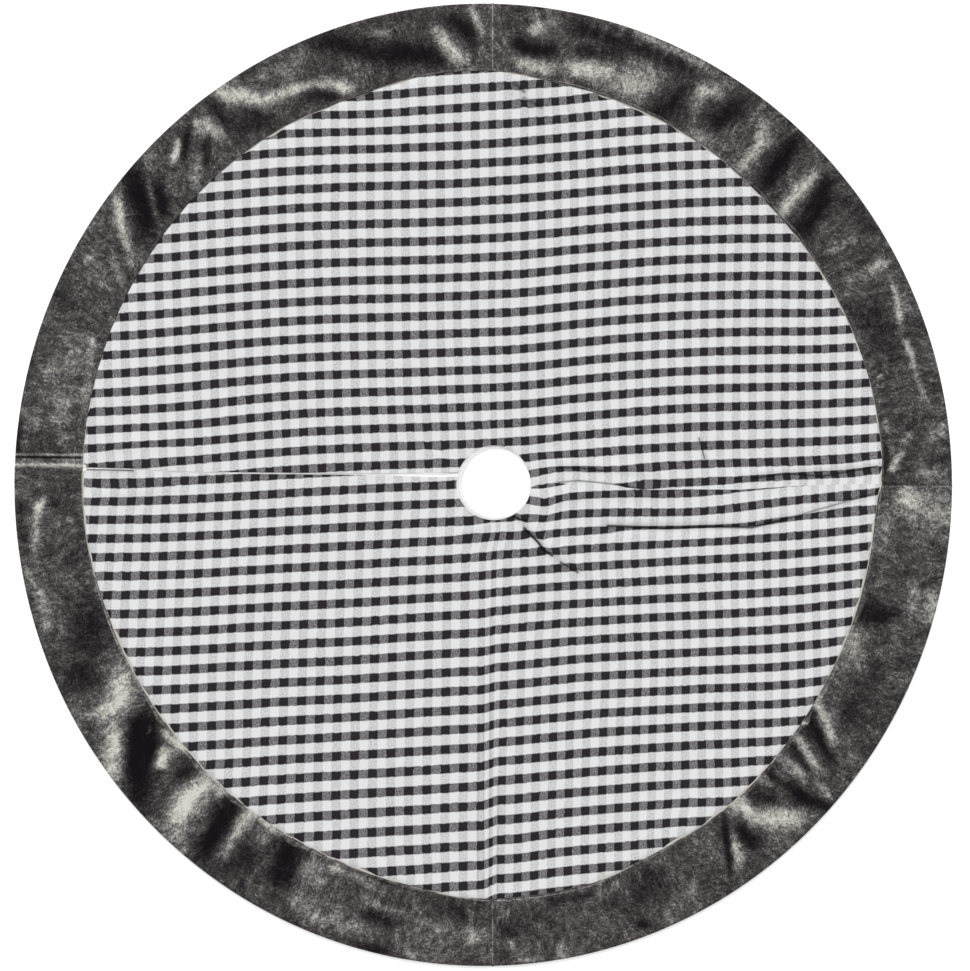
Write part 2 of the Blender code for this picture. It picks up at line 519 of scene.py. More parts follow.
WRINKLES: tuple[Wrinkle, ...] = tuple(Wrinkle(*wrinkle) for wrinkle in (
    # From the hole's lower right, the deepest fold and its tail.
    ((0.04, -0.03), (0.096, -0.094), 0.0065, 0.0022, 0.006, -0.004, 1.1),
    ((0.094, -0.084), (0.126, -0.112), 0.007, 0.0012, 0.003, 0.002, 0.9),
    # The lower half's long fold under the seam.
    ((0.166, -0.054), (0.356, -0.053), 0.0065, -0.0016, 0.0095, 0, -0.8),
    ((0.35, -0.052), (0.505, -0.012), 0.007, -0.0014, 0.005, -0.004, -0.8),
    # Above the seam, and across it near the hole.
    ((0.325, 0.009), (0.505, 0.025), 0.007, 0.0016, 0.0045, 0.002, 0.9),
    ((0.09, 0.021), (0.23, 0.009), 0.008, 0.0012, 0.004, 0.006, 0.8),
    ((0.085, -0.022), (0.225, -0.016), 0.01, 0.0012, 0.002, 0.008, 0.7),
    # The pressed fold, as a ridge in each half, and the creases that end at it.
    ((0.02, -0.06), (0.016, -0.52), 0.009, 0.0016, 0.0016, 0.002, 0.5),
    ((0.016, 0.06), (0.018, 0.52), 0.011, 0.0009, 0.0015, 0, 0.4),
    ((0.03, 0.516), (0.062, 0.478), 0.006, 0.0014, 0.004, 0, 0.9),
    ((0.279, 0.07), (0.286, 0.026), 0.0045, 0.0009, 0.003, 0, 0.8),
    # Round the hole.
    ((0.005, -0.05), (-0.03, -0.06), 0.007, 0.0012, 0.003, 0, 0.6),
    ((0.05, 0.045), (0.1, 0.06), 0.007, 0.001, 0.0025, 0, 0.6),
    ((-0.04, 0.03), (-0.075, 0.05), 0.007, 0.001, 0.003, 0, 0.6),
    # Beside the slit.
    ((-0.495, 0.045), (-0.41, 0.052), 0.008, 0.001, 0.002, 0.002, 0.5),
    ((-0.49, -0.012), (-0.4, -0.004), 0.008, 0.001, 0.002, -0.002, 0.5),
))


@dataclass(frozen=True)
class Slack:
    """A place where the cloth lies a few millimetres away from its even spread.

    Attributes:
        x: the middle of the place.
        y: the middle of the place.
        wide: how far to each side it is felt.
        high: how far up and down it is felt.
        right: how far the checks' own place lies to the right of where they are.
        up: how far it lies above.
    """

    x: float
    y: float
    wide: float
    high: float
    right: float
    up: float

    def pull(self, x: Array, y: Array) -> tuple[Array, Array]:
        """The move times a bell curve both ways."""
        bell = np.exp(-(((x - self.x) / self.wide) ** 2) - ((y - self.y) / self.high) ** 2)
        return self.right * bell, self.up * bell


SLACK: dict[Side, tuple[Slack, ...]] = {
    Side.UPPER: tuple(Slack(*place) for place in (
        (-0.16, 0.5, 0.08, 0.045, 0, 0.006), (0.105, 0.51, 0.04, 0.03, 0, 0.002),
        (0.44, 0.25, 0.06, 0.08, 0, 0.003), (0.045, 0.19, 0.05, 0.12, 0, 0.0016),
        (-0.45, 0.05, 0.06, 0.022, 0.001, -0.0026), (-0.36, 0.085, 0.09, 0.04, 0, 0.002),
        (-0.47, 0.004, 0.06, 0.016, 0, 0.0022), (-0.09, 0.04, 0.08, 0.06, -0.0038, -0.0012),
        (0.096, 0.014, 0.042, 0.02, -0.0025, -0.0075), (0.075, -0.004, 0.03, 0.01, 0, -0.0045),
        (0.3, 0.04, 0.13, 0.034, 0, 0.0018), (0.25, 0.01, 0.16, 0.02, -0.002, 0),
        (0.44, 0.004, 0.1, 0.016, -0.0035, -0.0045), (0.505, 0.02, 0.025, 0.016, -0.0025, -0.0045),
        (0.14, 0.505, 0.06, 0.03, 0.0072, 0), (0.19, 0.445, 0.08, 0.034, 0.0024, 0),
        (0.23, 0.32, 0.19, 0.07, -0.0019, 0), (-0.02, 0.22, 0.06, 0.06, 0.002, 0),
        (-0.2, 0.43, 0.11, 0.06, -0.0016, 0),
    )),
    Side.LOWER: tuple(Slack(*place) for place in (
        (-0.47, -0.01, 0.06, 0.016, -0.002, 0.0016), (-0.09, -0.02, 0.08, 0.06, -0.0032, -0.001),
        (-0.18, -0.21, 0.08, 0.11, 0, 0.0023), (0.035, -0.48, 0.045, 0.08, 0, 0.0035),
        (0.01, -0.25, 0.04, 0.12, 0, 0.0016), (0.09, -0.13, 0.06, 0.06, -0.0034, -0.002),
        (0.14, -0.27, 0.06, 0.09, -0.001, -0.002), (0.27, -0.03, 0.09, 0.032, -0.0012, 0.0075),
        (0.08, -0.024, 0.018, 0.026, -0.005, 0.0055), (0.32, -0.036, 0.06, 0.018, -0.0024, 0),
        (0.01, -0.055, 0.03, 0.022, -0.006, -0.0015), (0.18, -0.085, 0.09, 0.036, 0.0032, 0),
        (0.18, -0.24, 0.06, 0.06, -0.0028, 0), (0.39, -0.26, 0.07, 0.11, -0.002, 0.0028),
        (0.32, -0.4, 0.05, 0.05, -0.0015, 0.0018), (0.29, -0.2, 0.06, 0.06, -0.0018, 0.0008),
        (0.25, -0.45, 0.036, 0.034, 0.0042, 0), (-0.35, -0.35, 0.07, 0.07, -0.0028, -0.0008),
        (-0.1, -0.505, 0.045, 0.028, -0.0038, 0), (-0.2, -0.45, 0.045, 0.034, -0.0024, 0),
    )),
}


@dataclass(frozen=True)
class Relief:
    """The height of the gingham above its lie when flat, and where its checks are pulled.

    Attributes:
        plan: the skirt's plan.
        swell: height of the slow unevenness of the whole cloth.
        pucker: height of the small puckers along seams.
        ceiling: how far up the cloth may stand.
        floor: how far down it may press into the wadding.
    """

    plan: Plan
    swell: float = 0.00035
    pucker: float = 0.00045
    ceiling: float = 0.0024
    floor: float = -0.0018

    # Length, heading and phase of each slow wave.
    SWELLS = ((0.171, 0.6, 0.2), (0.123, 2.1, 1.7), (0.094, 1.2, 4.0), (0.067, 2.8, 2.9), (0.052, 0.1, 5.1))
    SEAM_PUCKER = 0.021
    SEAM_WAVES = 1.749 / SEAM_PUCKER
    SEAM_REACH = 0.012
    HOLE_PUCKERS = 13
    HOLE_REACH = 0.020
    SEAM_DIP = 0.0013
    SEAM_DIP_REACH = 0.0030
    ELSEWHERE = 1e3

    def height(self, x: Array, y: Array) -> Array:
        """The sum of slow waves, puckers along the seams and round the hole, and every wrinkle.

        The sum is squeezed smoothly between the floor and the ceiling, then dips into the border's seam.

        Args:
            x: places' x.
            y: places' y.

        Returns:
            Height above the flat cloth at each place.
        """
        plan = self.plan
        total = np.zeros_like(x)
        for length, heading, phase in self.SWELLS:
            way = (x * math.cos(heading) + y * math.sin(heading)) * 2 * math.pi / length
            total += self.swell * 0.5 * np.sin(way + phase + 1.3 * np.sin(way * 0.37 + 2 * phase))
        angle = np.arctan2(y, x)
        depth = plan.from_seam(x, y)
        ripple = np.sin(angle * self.SEAM_WAVES + 2.2 * np.sin(9 * angle) + 3 * np.cos(4 * angle))
        total += self.pucker * ripple * np.exp(-depth / self.SEAM_REACH)
        hole_x, hole_y = x - plan.hole.centre[0], y - plan.hole.centre[1]
        from_hole = np.hypot(hole_x, hole_y) - plan.hole.across
        hole_angle = np.arctan2(hole_y, hole_x)
        rays = np.sin(self.HOLE_PUCKERS * hole_angle + 2 * np.sin(3 * hole_angle))
        total += self.pucker * rays * np.exp(-from_hole / self.HOLE_REACH)
        from_seam = np.abs(y - plan.seam_y) + self.ELSEWHERE * (x < 0)
        beat = np.sin(2 * math.pi * x / self.SEAM_PUCKER + 2.5 * np.sin(x * 31))
        total += self.pucker * beat * np.exp(-from_seam / self.SEAM_REACH)
        for wrinkle in WRINKLES:
            total += wrinkle.height(x, y)
        total = np.where(total > 0, self.ceiling * np.tanh(total / self.ceiling),
                         -self.floor * np.tanh(total / -self.floor))
        total -= self.SEAM_DIP * np.exp(-(depth / self.SEAM_DIP_REACH) ** 2)
        return total

    def pull(self, x: Array, y: Array, side: Side) -> tuple[Array, Array]:
        """The sum of every wrinkle's pull on the checks, and of the slack of one half of the gingham.

        Args:
            x: places' x.
            y: places' y.
            side: which half.

        Returns:
            The way in x and in y.
        """
        move_x, move_y = np.zeros_like(x), np.zeros_like(y)
        for wrinkle in (*WRINKLES, *SLACK[side]):
            step_x, step_y = wrinkle.pull(x, y)
            move_x += step_x
            move_y += step_y
        return move_x, move_y


# ---- Cloth surfaces ----


@dataclass
class Cloth:
    """A closed cloth surface on a grid of rows outwards by columns anticlockwise.

    Attributes:
        outer: points of the face that is seen, rows by columns by three.
        inner: the same points on the other face.
        grain: the two numbers that the pattern follows at each point.
        marks: named values at each point, for the material.
    """

    outer: Array
    inner: Array
    grain: Array
    marks: dict[str, Array] = field(default_factory=dict)

    SHARP = math.radians(50)

    def build(self, name: str, material: Material) -> Piece:
        """Makes the mesh: both faces as quads, and a rim of quads round all four sides.

        Args:
            name: the piece's name.
            material: its material.

        Returns:
            The piece, at the origin, in the scene.
        """
        rows, columns = self.outer.shape[:2]
        count = rows * columns
        index = np.arange(count).reshape(rows, columns)
        face = np.stack([index[:-1, :-1], index[1:, :-1], index[1:, 1:], index[:-1, 1:]], -1).reshape(-1, 4)
        ring = np.concatenate([index[:-1, 0], index[-1, :-1], index[:0:-1, -1], index[0, :0:-1]])
        ahead = np.roll(ring, -1)
        rim = np.stack([ahead, ring, ring + count, ahead + count], -1)
        quads = np.concatenate([face, face[:, ::-1] + count, rim])
        corners = quads.ravel().astype(np.int32)

        mesh = bpy.data.meshes.new(name)
        points = np.concatenate([self.outer.reshape(-1, 3), self.inner.reshape(-1, 3)]).astype(np.float32)
        mesh.vertices.add(len(points))
        mesh.vertices.foreach_set("co", points.ravel())
        mesh.loops.add(len(corners))
        mesh.loops.foreach_set("vertex_index", corners)
        mesh.polygons.add(len(quads))
        mesh.polygons.foreach_set("loop_start", np.arange(0, len(corners), 4, dtype=np.int32))
        mesh.update(calc_edges=True)
        mesh.validate()
        layer = mesh.uv_layers.new(name="cloth")
        layer.data.foreach_set("uv", self.grain.reshape(-1, 2)[corners % count].astype(np.float32).ravel())
        for mark, values in self.marks.items():
            attribute = mesh.attributes.new(mark, "FLOAT", "POINT")
            attribute.data.foreach_set("value", np.tile(values.ravel(), 2).astype(np.float32))
        mesh.materials.append(material)
        mesh.shade_smooth()
        mesh.set_sharp_from_angle(angle=self.SHARP)
        piece = bpy.data.objects.new(name, mesh)
        bpy.context.scene.collection.objects.link(piece)
        return piece


def stack(x: Array, y: Array, z: Array) -> Array:
    """Three arrays as one array of points."""
    return np.stack([x, y, z], -1)


def sunk(points: Array, thickness: float) -> Array:
    """Each point moved inwards along its surface's normal, the cross product of its two grid slopes.

    Args:
        points: the points, rows by columns by three.
        thickness: how far to move them.

    Returns:
        The moved points.
    """
    normal = np.cross(np.gradient(points, axis=0), np.gradient(points, axis=1))
    normal /= np.maximum(np.linalg.norm(normal, axis=-1, keepdims=True), 1e-12)
    return points - normal * thickness


def finish_piece(piece: Piece, quarter: Quarter, node: str, slot: str,
                 bends: bool = True) -> Piece:
    """Hands a piece to its quarter, hides the solid that it replaces, and logs it.

    Args:
        piece: the piece.
        quarter: the quarter.
        node: the solid that it replaces.
        slot: that solid's material slot; not used.
        bends: whether it reaches the joint where the quarter meets its neighbour.

    Returns:
        The piece.
    """
    quarter.attach(piece, bends)
    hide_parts(node)
    LOG.info("%s: %d faces, rides with %s", piece.name, len(piece.data.polygons), quarter.name)
    return piece


# ---- Nodes and shared groups ----


def linear(code: str) -> Colour:
    """A colour written as six hexadecimal digits, as the linear values that shaders take."""
    parts = [int(code[place:place + 2], 16) / 255 for place in (0, 2, 4)]
    return tuple(((part + 0.055) / 1.055) ** 2.4 if part > 0.04045 else part / 12.92 for part in parts)


class Nodes:
    """Adds shader nodes to one tree and wires them."""

    def __init__(self, tree: Tree) -> None:
        """Keeps the tree that the nodes go into."""
        self.tree = tree

    def add(self, kind: str, **settings: object) -> Node:
        """Adds a node and sets its properties.

        Args:
            kind: the node's type.
            settings: its properties.

        Returns:
            The node.
        """
        node = self.tree.nodes.new(kind)
        for name, value in settings.items():
            setattr(node, name, value)
        return node

    def put(self, socket: Socket, value: object) -> None:
        """Wires a socket to another, or gives it a plain value.

        Args:
            socket: the socket to fill.
            value: the other socket, or the value.
        """
        if isinstance(value, Socket):
            self.tree.links.new(value, socket)
        else:
            socket.default_value = value

    def math(self, operation: str, first: object, second: object = 0.0, clamp: bool = False) -> Socket:
        """The result of one arithmetic step.

        Args:
            operation: which step.
            first: its first value.
            second: its second value.
            clamp: whether the result is held between nought and one.

        Returns:
            The result.
        """
        node = self.add("ShaderNodeMath", operation=operation, use_clamp=clamp)
        self.put(node.inputs[0], first)
        self.put(node.inputs[1], second)
        return node.outputs[0]

    def swing(self, value: Socket, amount: object) -> Socket:
        """How far a value stands above a half, times an amount."""
        return self.math("MULTIPLY", self.math("SUBTRACT", value, 0.5), amount)

    def finish(self, shader: Node, colour: Socket, roughness: Socket, normal: Socket,
               specular: float) -> None:
        """Wires a shader's colour, roughness and normal, and sets how much it mirrors.

        Args:
            shader: the Principled shader.
            colour: its base colour.
            roughness: its roughness.
            normal: its normal.
            specular: its specular level.
        """
        self.put(shader.inputs["Base Color"], colour)
        self.put(shader.inputs["Roughness"], roughness)
        self.put(shader.inputs["Normal"], normal)
        self.put(shader.inputs["Specular IOR Level"], specular)

    def remap(self, value: object, low: float, high: float, to_low: float = 0.0,
              to_high: float = 1.0) -> Socket:
        """A value carried smoothly from one range to another.

        Args:
            value: the value.
            low: where the first range starts.
            high: where it ends.
            to_low: where the second range starts.
            to_high: where it ends.

        Returns:
            The carried value.
        """
        node = self.add("ShaderNodeMapRange", interpolation_type="SMOOTHSTEP")
        for socket, part in zip(node.inputs, (value, low, high, to_low, to_high)):
            self.put(socket, part)
        return node.outputs[0]

    def mix(self, share: object, first: object, second: object) -> Socket:
        """Two colours mixed by a share.

        Args:
            share: how much of the second.
            first: the one colour.
            second: the other colour.

        Returns:
            The mixed colour.
        """
        node = self.add("ShaderNodeMix", data_type="RGBA", clamp_factor=True)
        self.put(node.inputs["Factor"], share)
        for socket, colour in ((node.inputs[6], first), (node.inputs[7], second)):
            self.put(socket, (*colour, 1.0) if isinstance(colour, tuple) else colour)
        return node.outputs[2]

    def noise(self, vector: Socket, scale: float, detail: float = 2.0, roughness: float = 0.5) -> Socket:
        """Noise between nought and one; scale is in lumps a unit of the vector.

        Args:
            vector: where it is read.
            scale: how fine it is.
            detail: how many finer layers it has.
            roughness: how strong they are.

        Returns:
            The noise.
        """
        node = self.add("ShaderNodeTexNoise")
        self.put(node.inputs["Vector"], vector)
        self.put(node.inputs["Scale"], scale)
        self.put(node.inputs["Detail"], detail)
        self.put(node.inputs["Roughness"], roughness)
        return node.outputs[0]

    def scaled(self, vector: Socket, by: tuple[float, float, float], turn: float = 0.0) -> Socket:
        """A vector stretched and turned about Z.

        Args:
            vector: the vector.
            by: the stretch each way.
            turn: the turn, in radians.

        Returns:
            The new vector.
        """
        node = self.add("ShaderNodeMapping")
        self.put(node.inputs["Vector"], vector)
        self.put(node.inputs["Scale"], by)
        self.put(node.inputs["Rotation"], (0.0, 0.0, turn))
        return node.outputs[0]

    def warp(self, vector: Socket, scale: float, reach: float) -> Socket:
        """A vector pushed about by a slow noise, by up to half the reach each way.

        Args:
            vector: the vector.
            scale: of the noise.
            reach: of the push.

        Returns:
            The new vector.
        """
        swirl = self.add("ShaderNodeTexNoise")
        self.put(swirl.inputs["Vector"], vector)
        self.put(swirl.inputs["Scale"], scale)
        warped = self.add("ShaderNodeVectorMath", operation="ADD")
        self.put(warped.inputs[0], vector)
        self.put(warped.inputs[1], self.scaled(swirl.outputs["Color"], (reach, reach, 0.0)))
        return warped.outputs[0]

    def split(self, vector: Socket) -> tuple[Socket, Socket]:
        """The first two parts of a vector."""
        node = self.add("ShaderNodeSeparateXYZ")
        self.put(node.inputs[0], vector)
        return node.outputs[0], node.outputs[1]

    def ramp(self, value: Socket, stops: Sequence[tuple[float, Colour]]) -> Socket:
        """A colour read off a row of stops.

        Args:
            value: where it is read.
            stops: the places and their colours, in order.

        Returns:
            The colour.
        """
        node = self.add("ShaderNodeValToRGB")
        elements = node.color_ramp.elements
        while len(elements) < len(stops):
            elements.new(0.5)
        for element, (place, colour) in zip(elements, stops):
            element.position = place
            element.color = (*colour, 1.0)
        self.put(node.inputs[0], value)
        return node.outputs[0]

    def bump(self, height: Socket, distance: float, strength: float) -> Socket:
        """A normal from a height.

        Args:
            height: the height.
            distance: how far a height of one stands up.
            strength: how much of it is taken.

        Returns:
            The normal.
        """
        node = self.add("ShaderNodeBump")
        self.put(node.inputs["Height"], height)
        self.put(node.inputs["Distance"], distance)
        self.put(node.inputs["Strength"], strength)
        return node.outputs[0]

    def mark(self, name: str) -> Socket:
        """A named value of the mesh."""
        return self.add("ShaderNodeAttribute", attribute_name=name).outputs["Fac"]

    def cloth(self) -> Socket:
        """The piece's own map."""
        return self.add("ShaderNodeUVMap", uv_map="cloth").outputs[0]

    def place(self) -> Socket:
        """Object coordinates, in metres."""
        return self.add("ShaderNodeTexCoord").outputs["Object"]

    def group(self, tree: Tree, **values: object) -> Node:
        """Places a shared group and fills its inputs; an underscore in a name stands for a space.

        Args:
            tree: the group.
            values: its inputs.

        Returns:
            The group's node.
        """
        node = self.add("ShaderNodeGroup", node_tree=tree)
        for name, value in values.items():
            self.put(node.inputs[name.replace("_", " ")], value)
        return node


def new_group(name: str, inputs: dict[str, tuple[str, float]], outputs: dict[str, str]) -> tuple[
        Tree, Nodes, Node, Node]:
    """An empty shader group.

    Args:
        name: the group's name.
        inputs: each input's kind of socket and its usual value.
        outputs: each output's kind of socket.

    Returns:
        The tree, a builder for it, and its input and output nodes.
    """
    tree = bpy.data.node_groups.new(name, "ShaderNodeTree")
    for label, (kind, value) in inputs.items():
        socket = tree.interface.new_socket(label, in_out="INPUT", socket_type=kind)
        if kind == "NodeSocketFloat":
            socket.default_value = value
    for label, kind in outputs.items():
        tree.interface.new_socket(label, in_out="OUTPUT", socket_type=kind)
    nodes = Nodes(tree)
    return tree, nodes, nodes.add("NodeGroupInput"), nodes.add("NodeGroupOutput")


def weave_group() -> Tree:
    """Plain weave, from a vector counted in threads.

    A warp thread lies on top where the whole numbers of the two counts add up to an even number. Each
    thread is round: its height is the sine of the way across it, and the way along a float arches it.

    Returns:
        A group with inputs Threads and Cover (how much of each crossing its top thread hides), and
        outputs Warp (one where the warp is seen) and Height.
    """
    tree, nodes, start, end = new_group(
        "plain_weave",
        {"Threads": ("NodeSocketVector", 0.0), "Cover": ("NodeSocketFloat", 0.5)},
        {"Warp": "NodeSocketFloat", "Height": "NodeSocketFloat"},
    )
    across, along = nodes.split(start.outputs["Threads"])
    crossing = nodes.math("ADD", nodes.math("FLOOR", across), nodes.math("FLOOR", along))
    even = nodes.math("PINGPONG", crossing, 1.0)
    bells = [nodes.math("SINE", nodes.math("MULTIPLY", nodes.math("FRACT", way), math.pi))
             for way in (across, along)]
    both = nodes.math("MULTIPLY", *bells)
    narrow = nodes.math("SUBTRACT", 1.0, start.outputs["Cover"])
    warp_seen = nodes.remap(nodes.math("SUBTRACT", both, narrow), -0.08, 0.08)
    nodes.put(end.inputs["Warp"], nodes.math("MULTIPLY", warp_seen, nodes.math("SUBTRACT", 1.0, even)))
    nodes.put(end.inputs["Height"], both)
    return tree


def stitch_group() -> Tree:
    """A row of stitches along a line, from a distance along it and a distance from it, both in metres.

    Returns:
        A group with inputs Along, Away, Pitch and Width, and output Stitch, one on each stitch's back.
    """
    tree, nodes, start, end = new_group(
        "stitch_row",
        {"Along": ("NodeSocketFloat", 0.0), "Away": ("NodeSocketFloat", 0.0),
         "Pitch": ("NodeSocketFloat", 0.003), "Width": ("NodeSocketFloat", 0.0004)},
        {"Stitch": "NodeSocketFloat"},
    )
    part = nodes.math("FRACT", nodes.math("DIVIDE", start.outputs["Along"], start.outputs["Pitch"]))
    from_middle = nodes.math("ABSOLUTE", nodes.math("SUBTRACT", part, 0.5))
    lengthways = nodes.remap(from_middle, 0.42, 0.30)
    share = nodes.math("DIVIDE", nodes.math("ABSOLUTE", start.outputs["Away"]), start.outputs["Width"])
    nodes.put(end.inputs["Stitch"], nodes.math("MULTIPLY", lengthways, nodes.remap(share, 1.0, 0.5)))
    return tree


def crease_shadow_group() -> Tree:
    """The painted shadow inside one straight crease, from its two ends.

    The nearest place of the line is found by projection, held between its ends, and the painted shadow is a
    bell curve of the distance to it inside a wider, fainter one.

    Returns:
        A group with inputs Place, From, Along (the way to its other end) and Width, and output Shade.
    """
    tree, nodes, start, end = new_group(
        "crease",
        {"Place": ("NodeSocketVector", 0.0), "From": ("NodeSocketVector", 0.0),
         "Along": ("NodeSocketVector", 0.0), "Width": ("NodeSocketFloat", 0.001)},
        {"Shade": "NodeSocketFloat"},
    )

    def step(operation: str, first: Socket, second: object, output: str) -> Socket:
        """One step of vector arithmetic."""
        node = nodes.add("ShaderNodeVectorMath", operation=operation)
        nodes.put(node.inputs[0], first)
        nodes.put(node.inputs["Scale" if operation == "SCALE" else 1], second)
        return node.outputs[output]

    along = start.outputs["Along"]
    flat = step("MULTIPLY", start.outputs["Place"], (1.0, 1.0, 0.0), "Vector")
    offset = step("SUBTRACT", flat, start.outputs["From"], "Vector")
    part = nodes.math("DIVIDE", step("DOT_PRODUCT", offset, along, "Value"),
                      step("DOT_PRODUCT", along, along, "Value"), clamp=True)
    away = step("DISTANCE", offset, step("SCALE", along, part, "Vector"), "Value")
    share = nodes.math("DIVIDE", away, start.outputs["Width"])
    bell = nodes.math("POWER", math.e, nodes.math("MULTIPLY", nodes.math("MULTIPLY", share, share), -1.0))
    # A wider, fainter painted shadow round the crease.
    soft_shadow = nodes.math("MULTIPLY", nodes.math("POWER", math.e, nodes.math("MULTIPLY", share, -0.5)), 0.28)
    nodes.put(end.inputs["Shade"], nodes.math("MAXIMUM", bell, soft_shadow))
    return tree


@dataclass(frozen=True)
class Groups:
    """The shader groups that the finishes share."""

    weave: Tree
    stitch: Tree
    crease: Tree

    @classmethod
    def make(cls) -> "Groups":
        """Builds each group once."""
        return cls(weave_group(), stitch_group(), crease_shadow_group())


def new_material(name: str) -> tuple[Material, Nodes, Node]:
    """A material with its builder and its Principled shader."""
    material = bpy.data.materials.new(name)
    material.use_nodes = True
    return material, Nodes(material.node_tree), material.node_tree.nodes["Principled BSDF"]


# ---- Finishes ----


# Painted shadow in creases of the gingham that are sharper than its mesh: width, shade, and the places they
# run through.
CREASE_SHADOWS: tuple[tuple[float, float, tuple[Point, ...]], ...] = (
    (0.0018, 0.95, ((0.0359, -0.0379), (0.0462, -0.0443), (0.0565, -0.0456))),
    (0.0021, 1, ((0.0526, -0.0558), (0.0693, -0.0725), (0.0796, -0.0854), (0.0886, -0.0905))),
    (0.0018, 0.85, ((0.0996, -0.0995), (0.1213, -0.1123))),
    (0.0021, 0.92, ((0.16, -0.0525), (0.2375, -0.056), (0.2811, -0.0535), (0.3453, -0.0546),
                    (0.3877, -0.044))),
    (0.0012, 0.6, ((0.3877, -0.044), (0.5057, -0.01))),
    (0.0016, 0.8, ((0.3466, 0.0083), (0.3877, 0.0148), (0.4351, 0.0109), (0.5057, 0.0237))),
    (0.0014, 0.8, ((0.098, 0.0225), (0.125, 0.0215), (0.155, 0.018))),
    (0.001, 0.75, ((0.096, 0.003), (0.122, 0.0055), (0.158, 0.002), (0.2, -0.0045))),
    (0.0032, 0.7, ((0.04, 0.515), (0.052, 0.505))), (0.0032, 0.6, ((0.052, 0.496), (0.074, 0.485))),
    (0.0018, 0.95, ((-0.512, 0.0205), (-0.48, 0.0196), (-0.45, 0.0188))),
    (0.0012, 0.75, ((0.277, 0.06), (0.284, 0.034))), (0.0013, 0.22, ((-0.0055, -0.3), (-0.007, -0.522))),
    (0.0013, 0.16, ((0.0005, -0.24), (0.001, -0.525))), (0.0013, 0.2, ((0.009, -0.16), (0.008, -0.525))),
    (0.0016, 0.22, ((0.019, -0.38), (0.018, -0.52))),
)


@dataclass(frozen=True)
class GinghamFinish:
    """Black and white checked cotton, woven in two colours each way.

    Attributes:
        groups: the shared shader groups.
        black: the dark threads.
        white: the light threads.
        dark_column: half the width of a dark column, in repeats.
        dark_row: half the height of a dark row, in repeats.
        soft: half the softness of a band's edge, in repeats.
        threads: threads to a repeat.
        cover: how much of each crossing its top thread hides.
        uneven: how much the cover varies in patches.
        speckle: how much the share of the warp varies from spot to spot.
        shown: how much more of the warp shows everywhere.
        wobble: how much a band's edge frays.
        crease: the painted shadow inside a crease.
    """

    groups: Groups
    black: Colour = linear("2a262a")
    white: Colour = linear("e9e9ea")
    dark_column: float = 0.253
    dark_row: float = 0.235
    soft: float = 0.030
    threads: float = 60.0
    cover: float = 0.50
    uneven: float = 0.5
    speckle: float = 1.1
    shown: float = 0.09
    wobble: float = 0.16
    # The colour of the painted shadow in the creases.
    crease: Colour = linear("151315")

    def make(self) -> Material:
        """Colours the weft by rows and the warp by columns, mixes them in spots, and paints shadow into the
        creases.

        Returns:
            The gingham's material.
        """
        material, nodes, shader = new_material("gingham_cotton")
        grain = nodes.cloth()
        column, row = nodes.split(grain)
        fray = nodes.math("SUBTRACT", nodes.noise(grain, 3.0, 4.0, 0.7), 0.5)
        warp = self.band(nodes, column, self.dark_column, fray)
        weft = self.band(nodes, row, self.dark_row, fray)
        threads = nodes.scaled(grain, (self.threads, self.threads, 1.0))
        patches = nodes.noise(grain, 9.0, 2.0, 0.7)
        cover = nodes.math("ADD", nodes.swing(patches, self.uneven), self.cover)
        weave = nodes.group(self.groups.weave, Threads=threads, Cover=cover)
        warp_colour = nodes.mix(warp, self.white, self.black)
        weft_colour = nodes.mix(weft, self.white, self.black)
        spots = nodes.noise(grain, 11.0, 2.0, 0.65)
        speckles = nodes.math("ADD", nodes.swing(spots, self.speckle), self.shown)
        shown = nodes.math("MULTIPLY", nodes.math("ADD", weave.outputs["Warp"], speckles), 0.75, clamp=True)
        colour = nodes.mix(shown, weft_colour, warp_colour)
        # Shadow painted into the colour inside the creases, deeper than the mesh folds.
        colour = nodes.mix(self.crease_shadows(nodes), colour, self.crease)
        roughness = nodes.remap(patches, 0.2, 0.8, 0.78, 0.92)
        nodes.finish(shader, colour, roughness, nodes.bump(weave.outputs["Height"], 0.00015, 0.35), 0.12)
        return material

    def crease_shadows(self, nodes: Nodes) -> Socket:
        """The painted shadow of every stretch of every crease, the darkest one wherever they overlap.

        Args:
            nodes: the material's builder.

        Returns:
            The shade, from nought to one.
        """
        place, total = nodes.place(), None
        for width, shade, stops in CREASE_SHADOWS:
            for first, last in zip(stops, stops[1:]):
                along = (last[0] - first[0], last[1] - first[1], 0.0)
                node = nodes.group(self.groups.crease, Place=place, From=(*first, 0.0), Along=along,
                                   Width=width)
                line = nodes.math("MULTIPLY", node.outputs[0], shade)
                total = line if total is None else nodes.math("MAXIMUM", total, line)
        return total

    def band(self, nodes: Nodes, count: Socket, half: float, fray: Socket) -> Socket:
        """One inside each dark band, which is centred half-way between whole counts.

        Args:
            nodes: the material's builder.
            count: the count of repeats.
            half: half the band's width.
            fray: what the band's edge frays by.

        Returns:
            The band.
        """
        away = nodes.math("ABSOLUTE", nodes.math("SUBTRACT", nodes.math("FRACT", count), 0.5))
        frayed = nodes.math("ADD", away, nodes.math("MULTIPLY", fray, self.wobble))
        return nodes.remap(frayed, half + self.soft, half - self.soft)


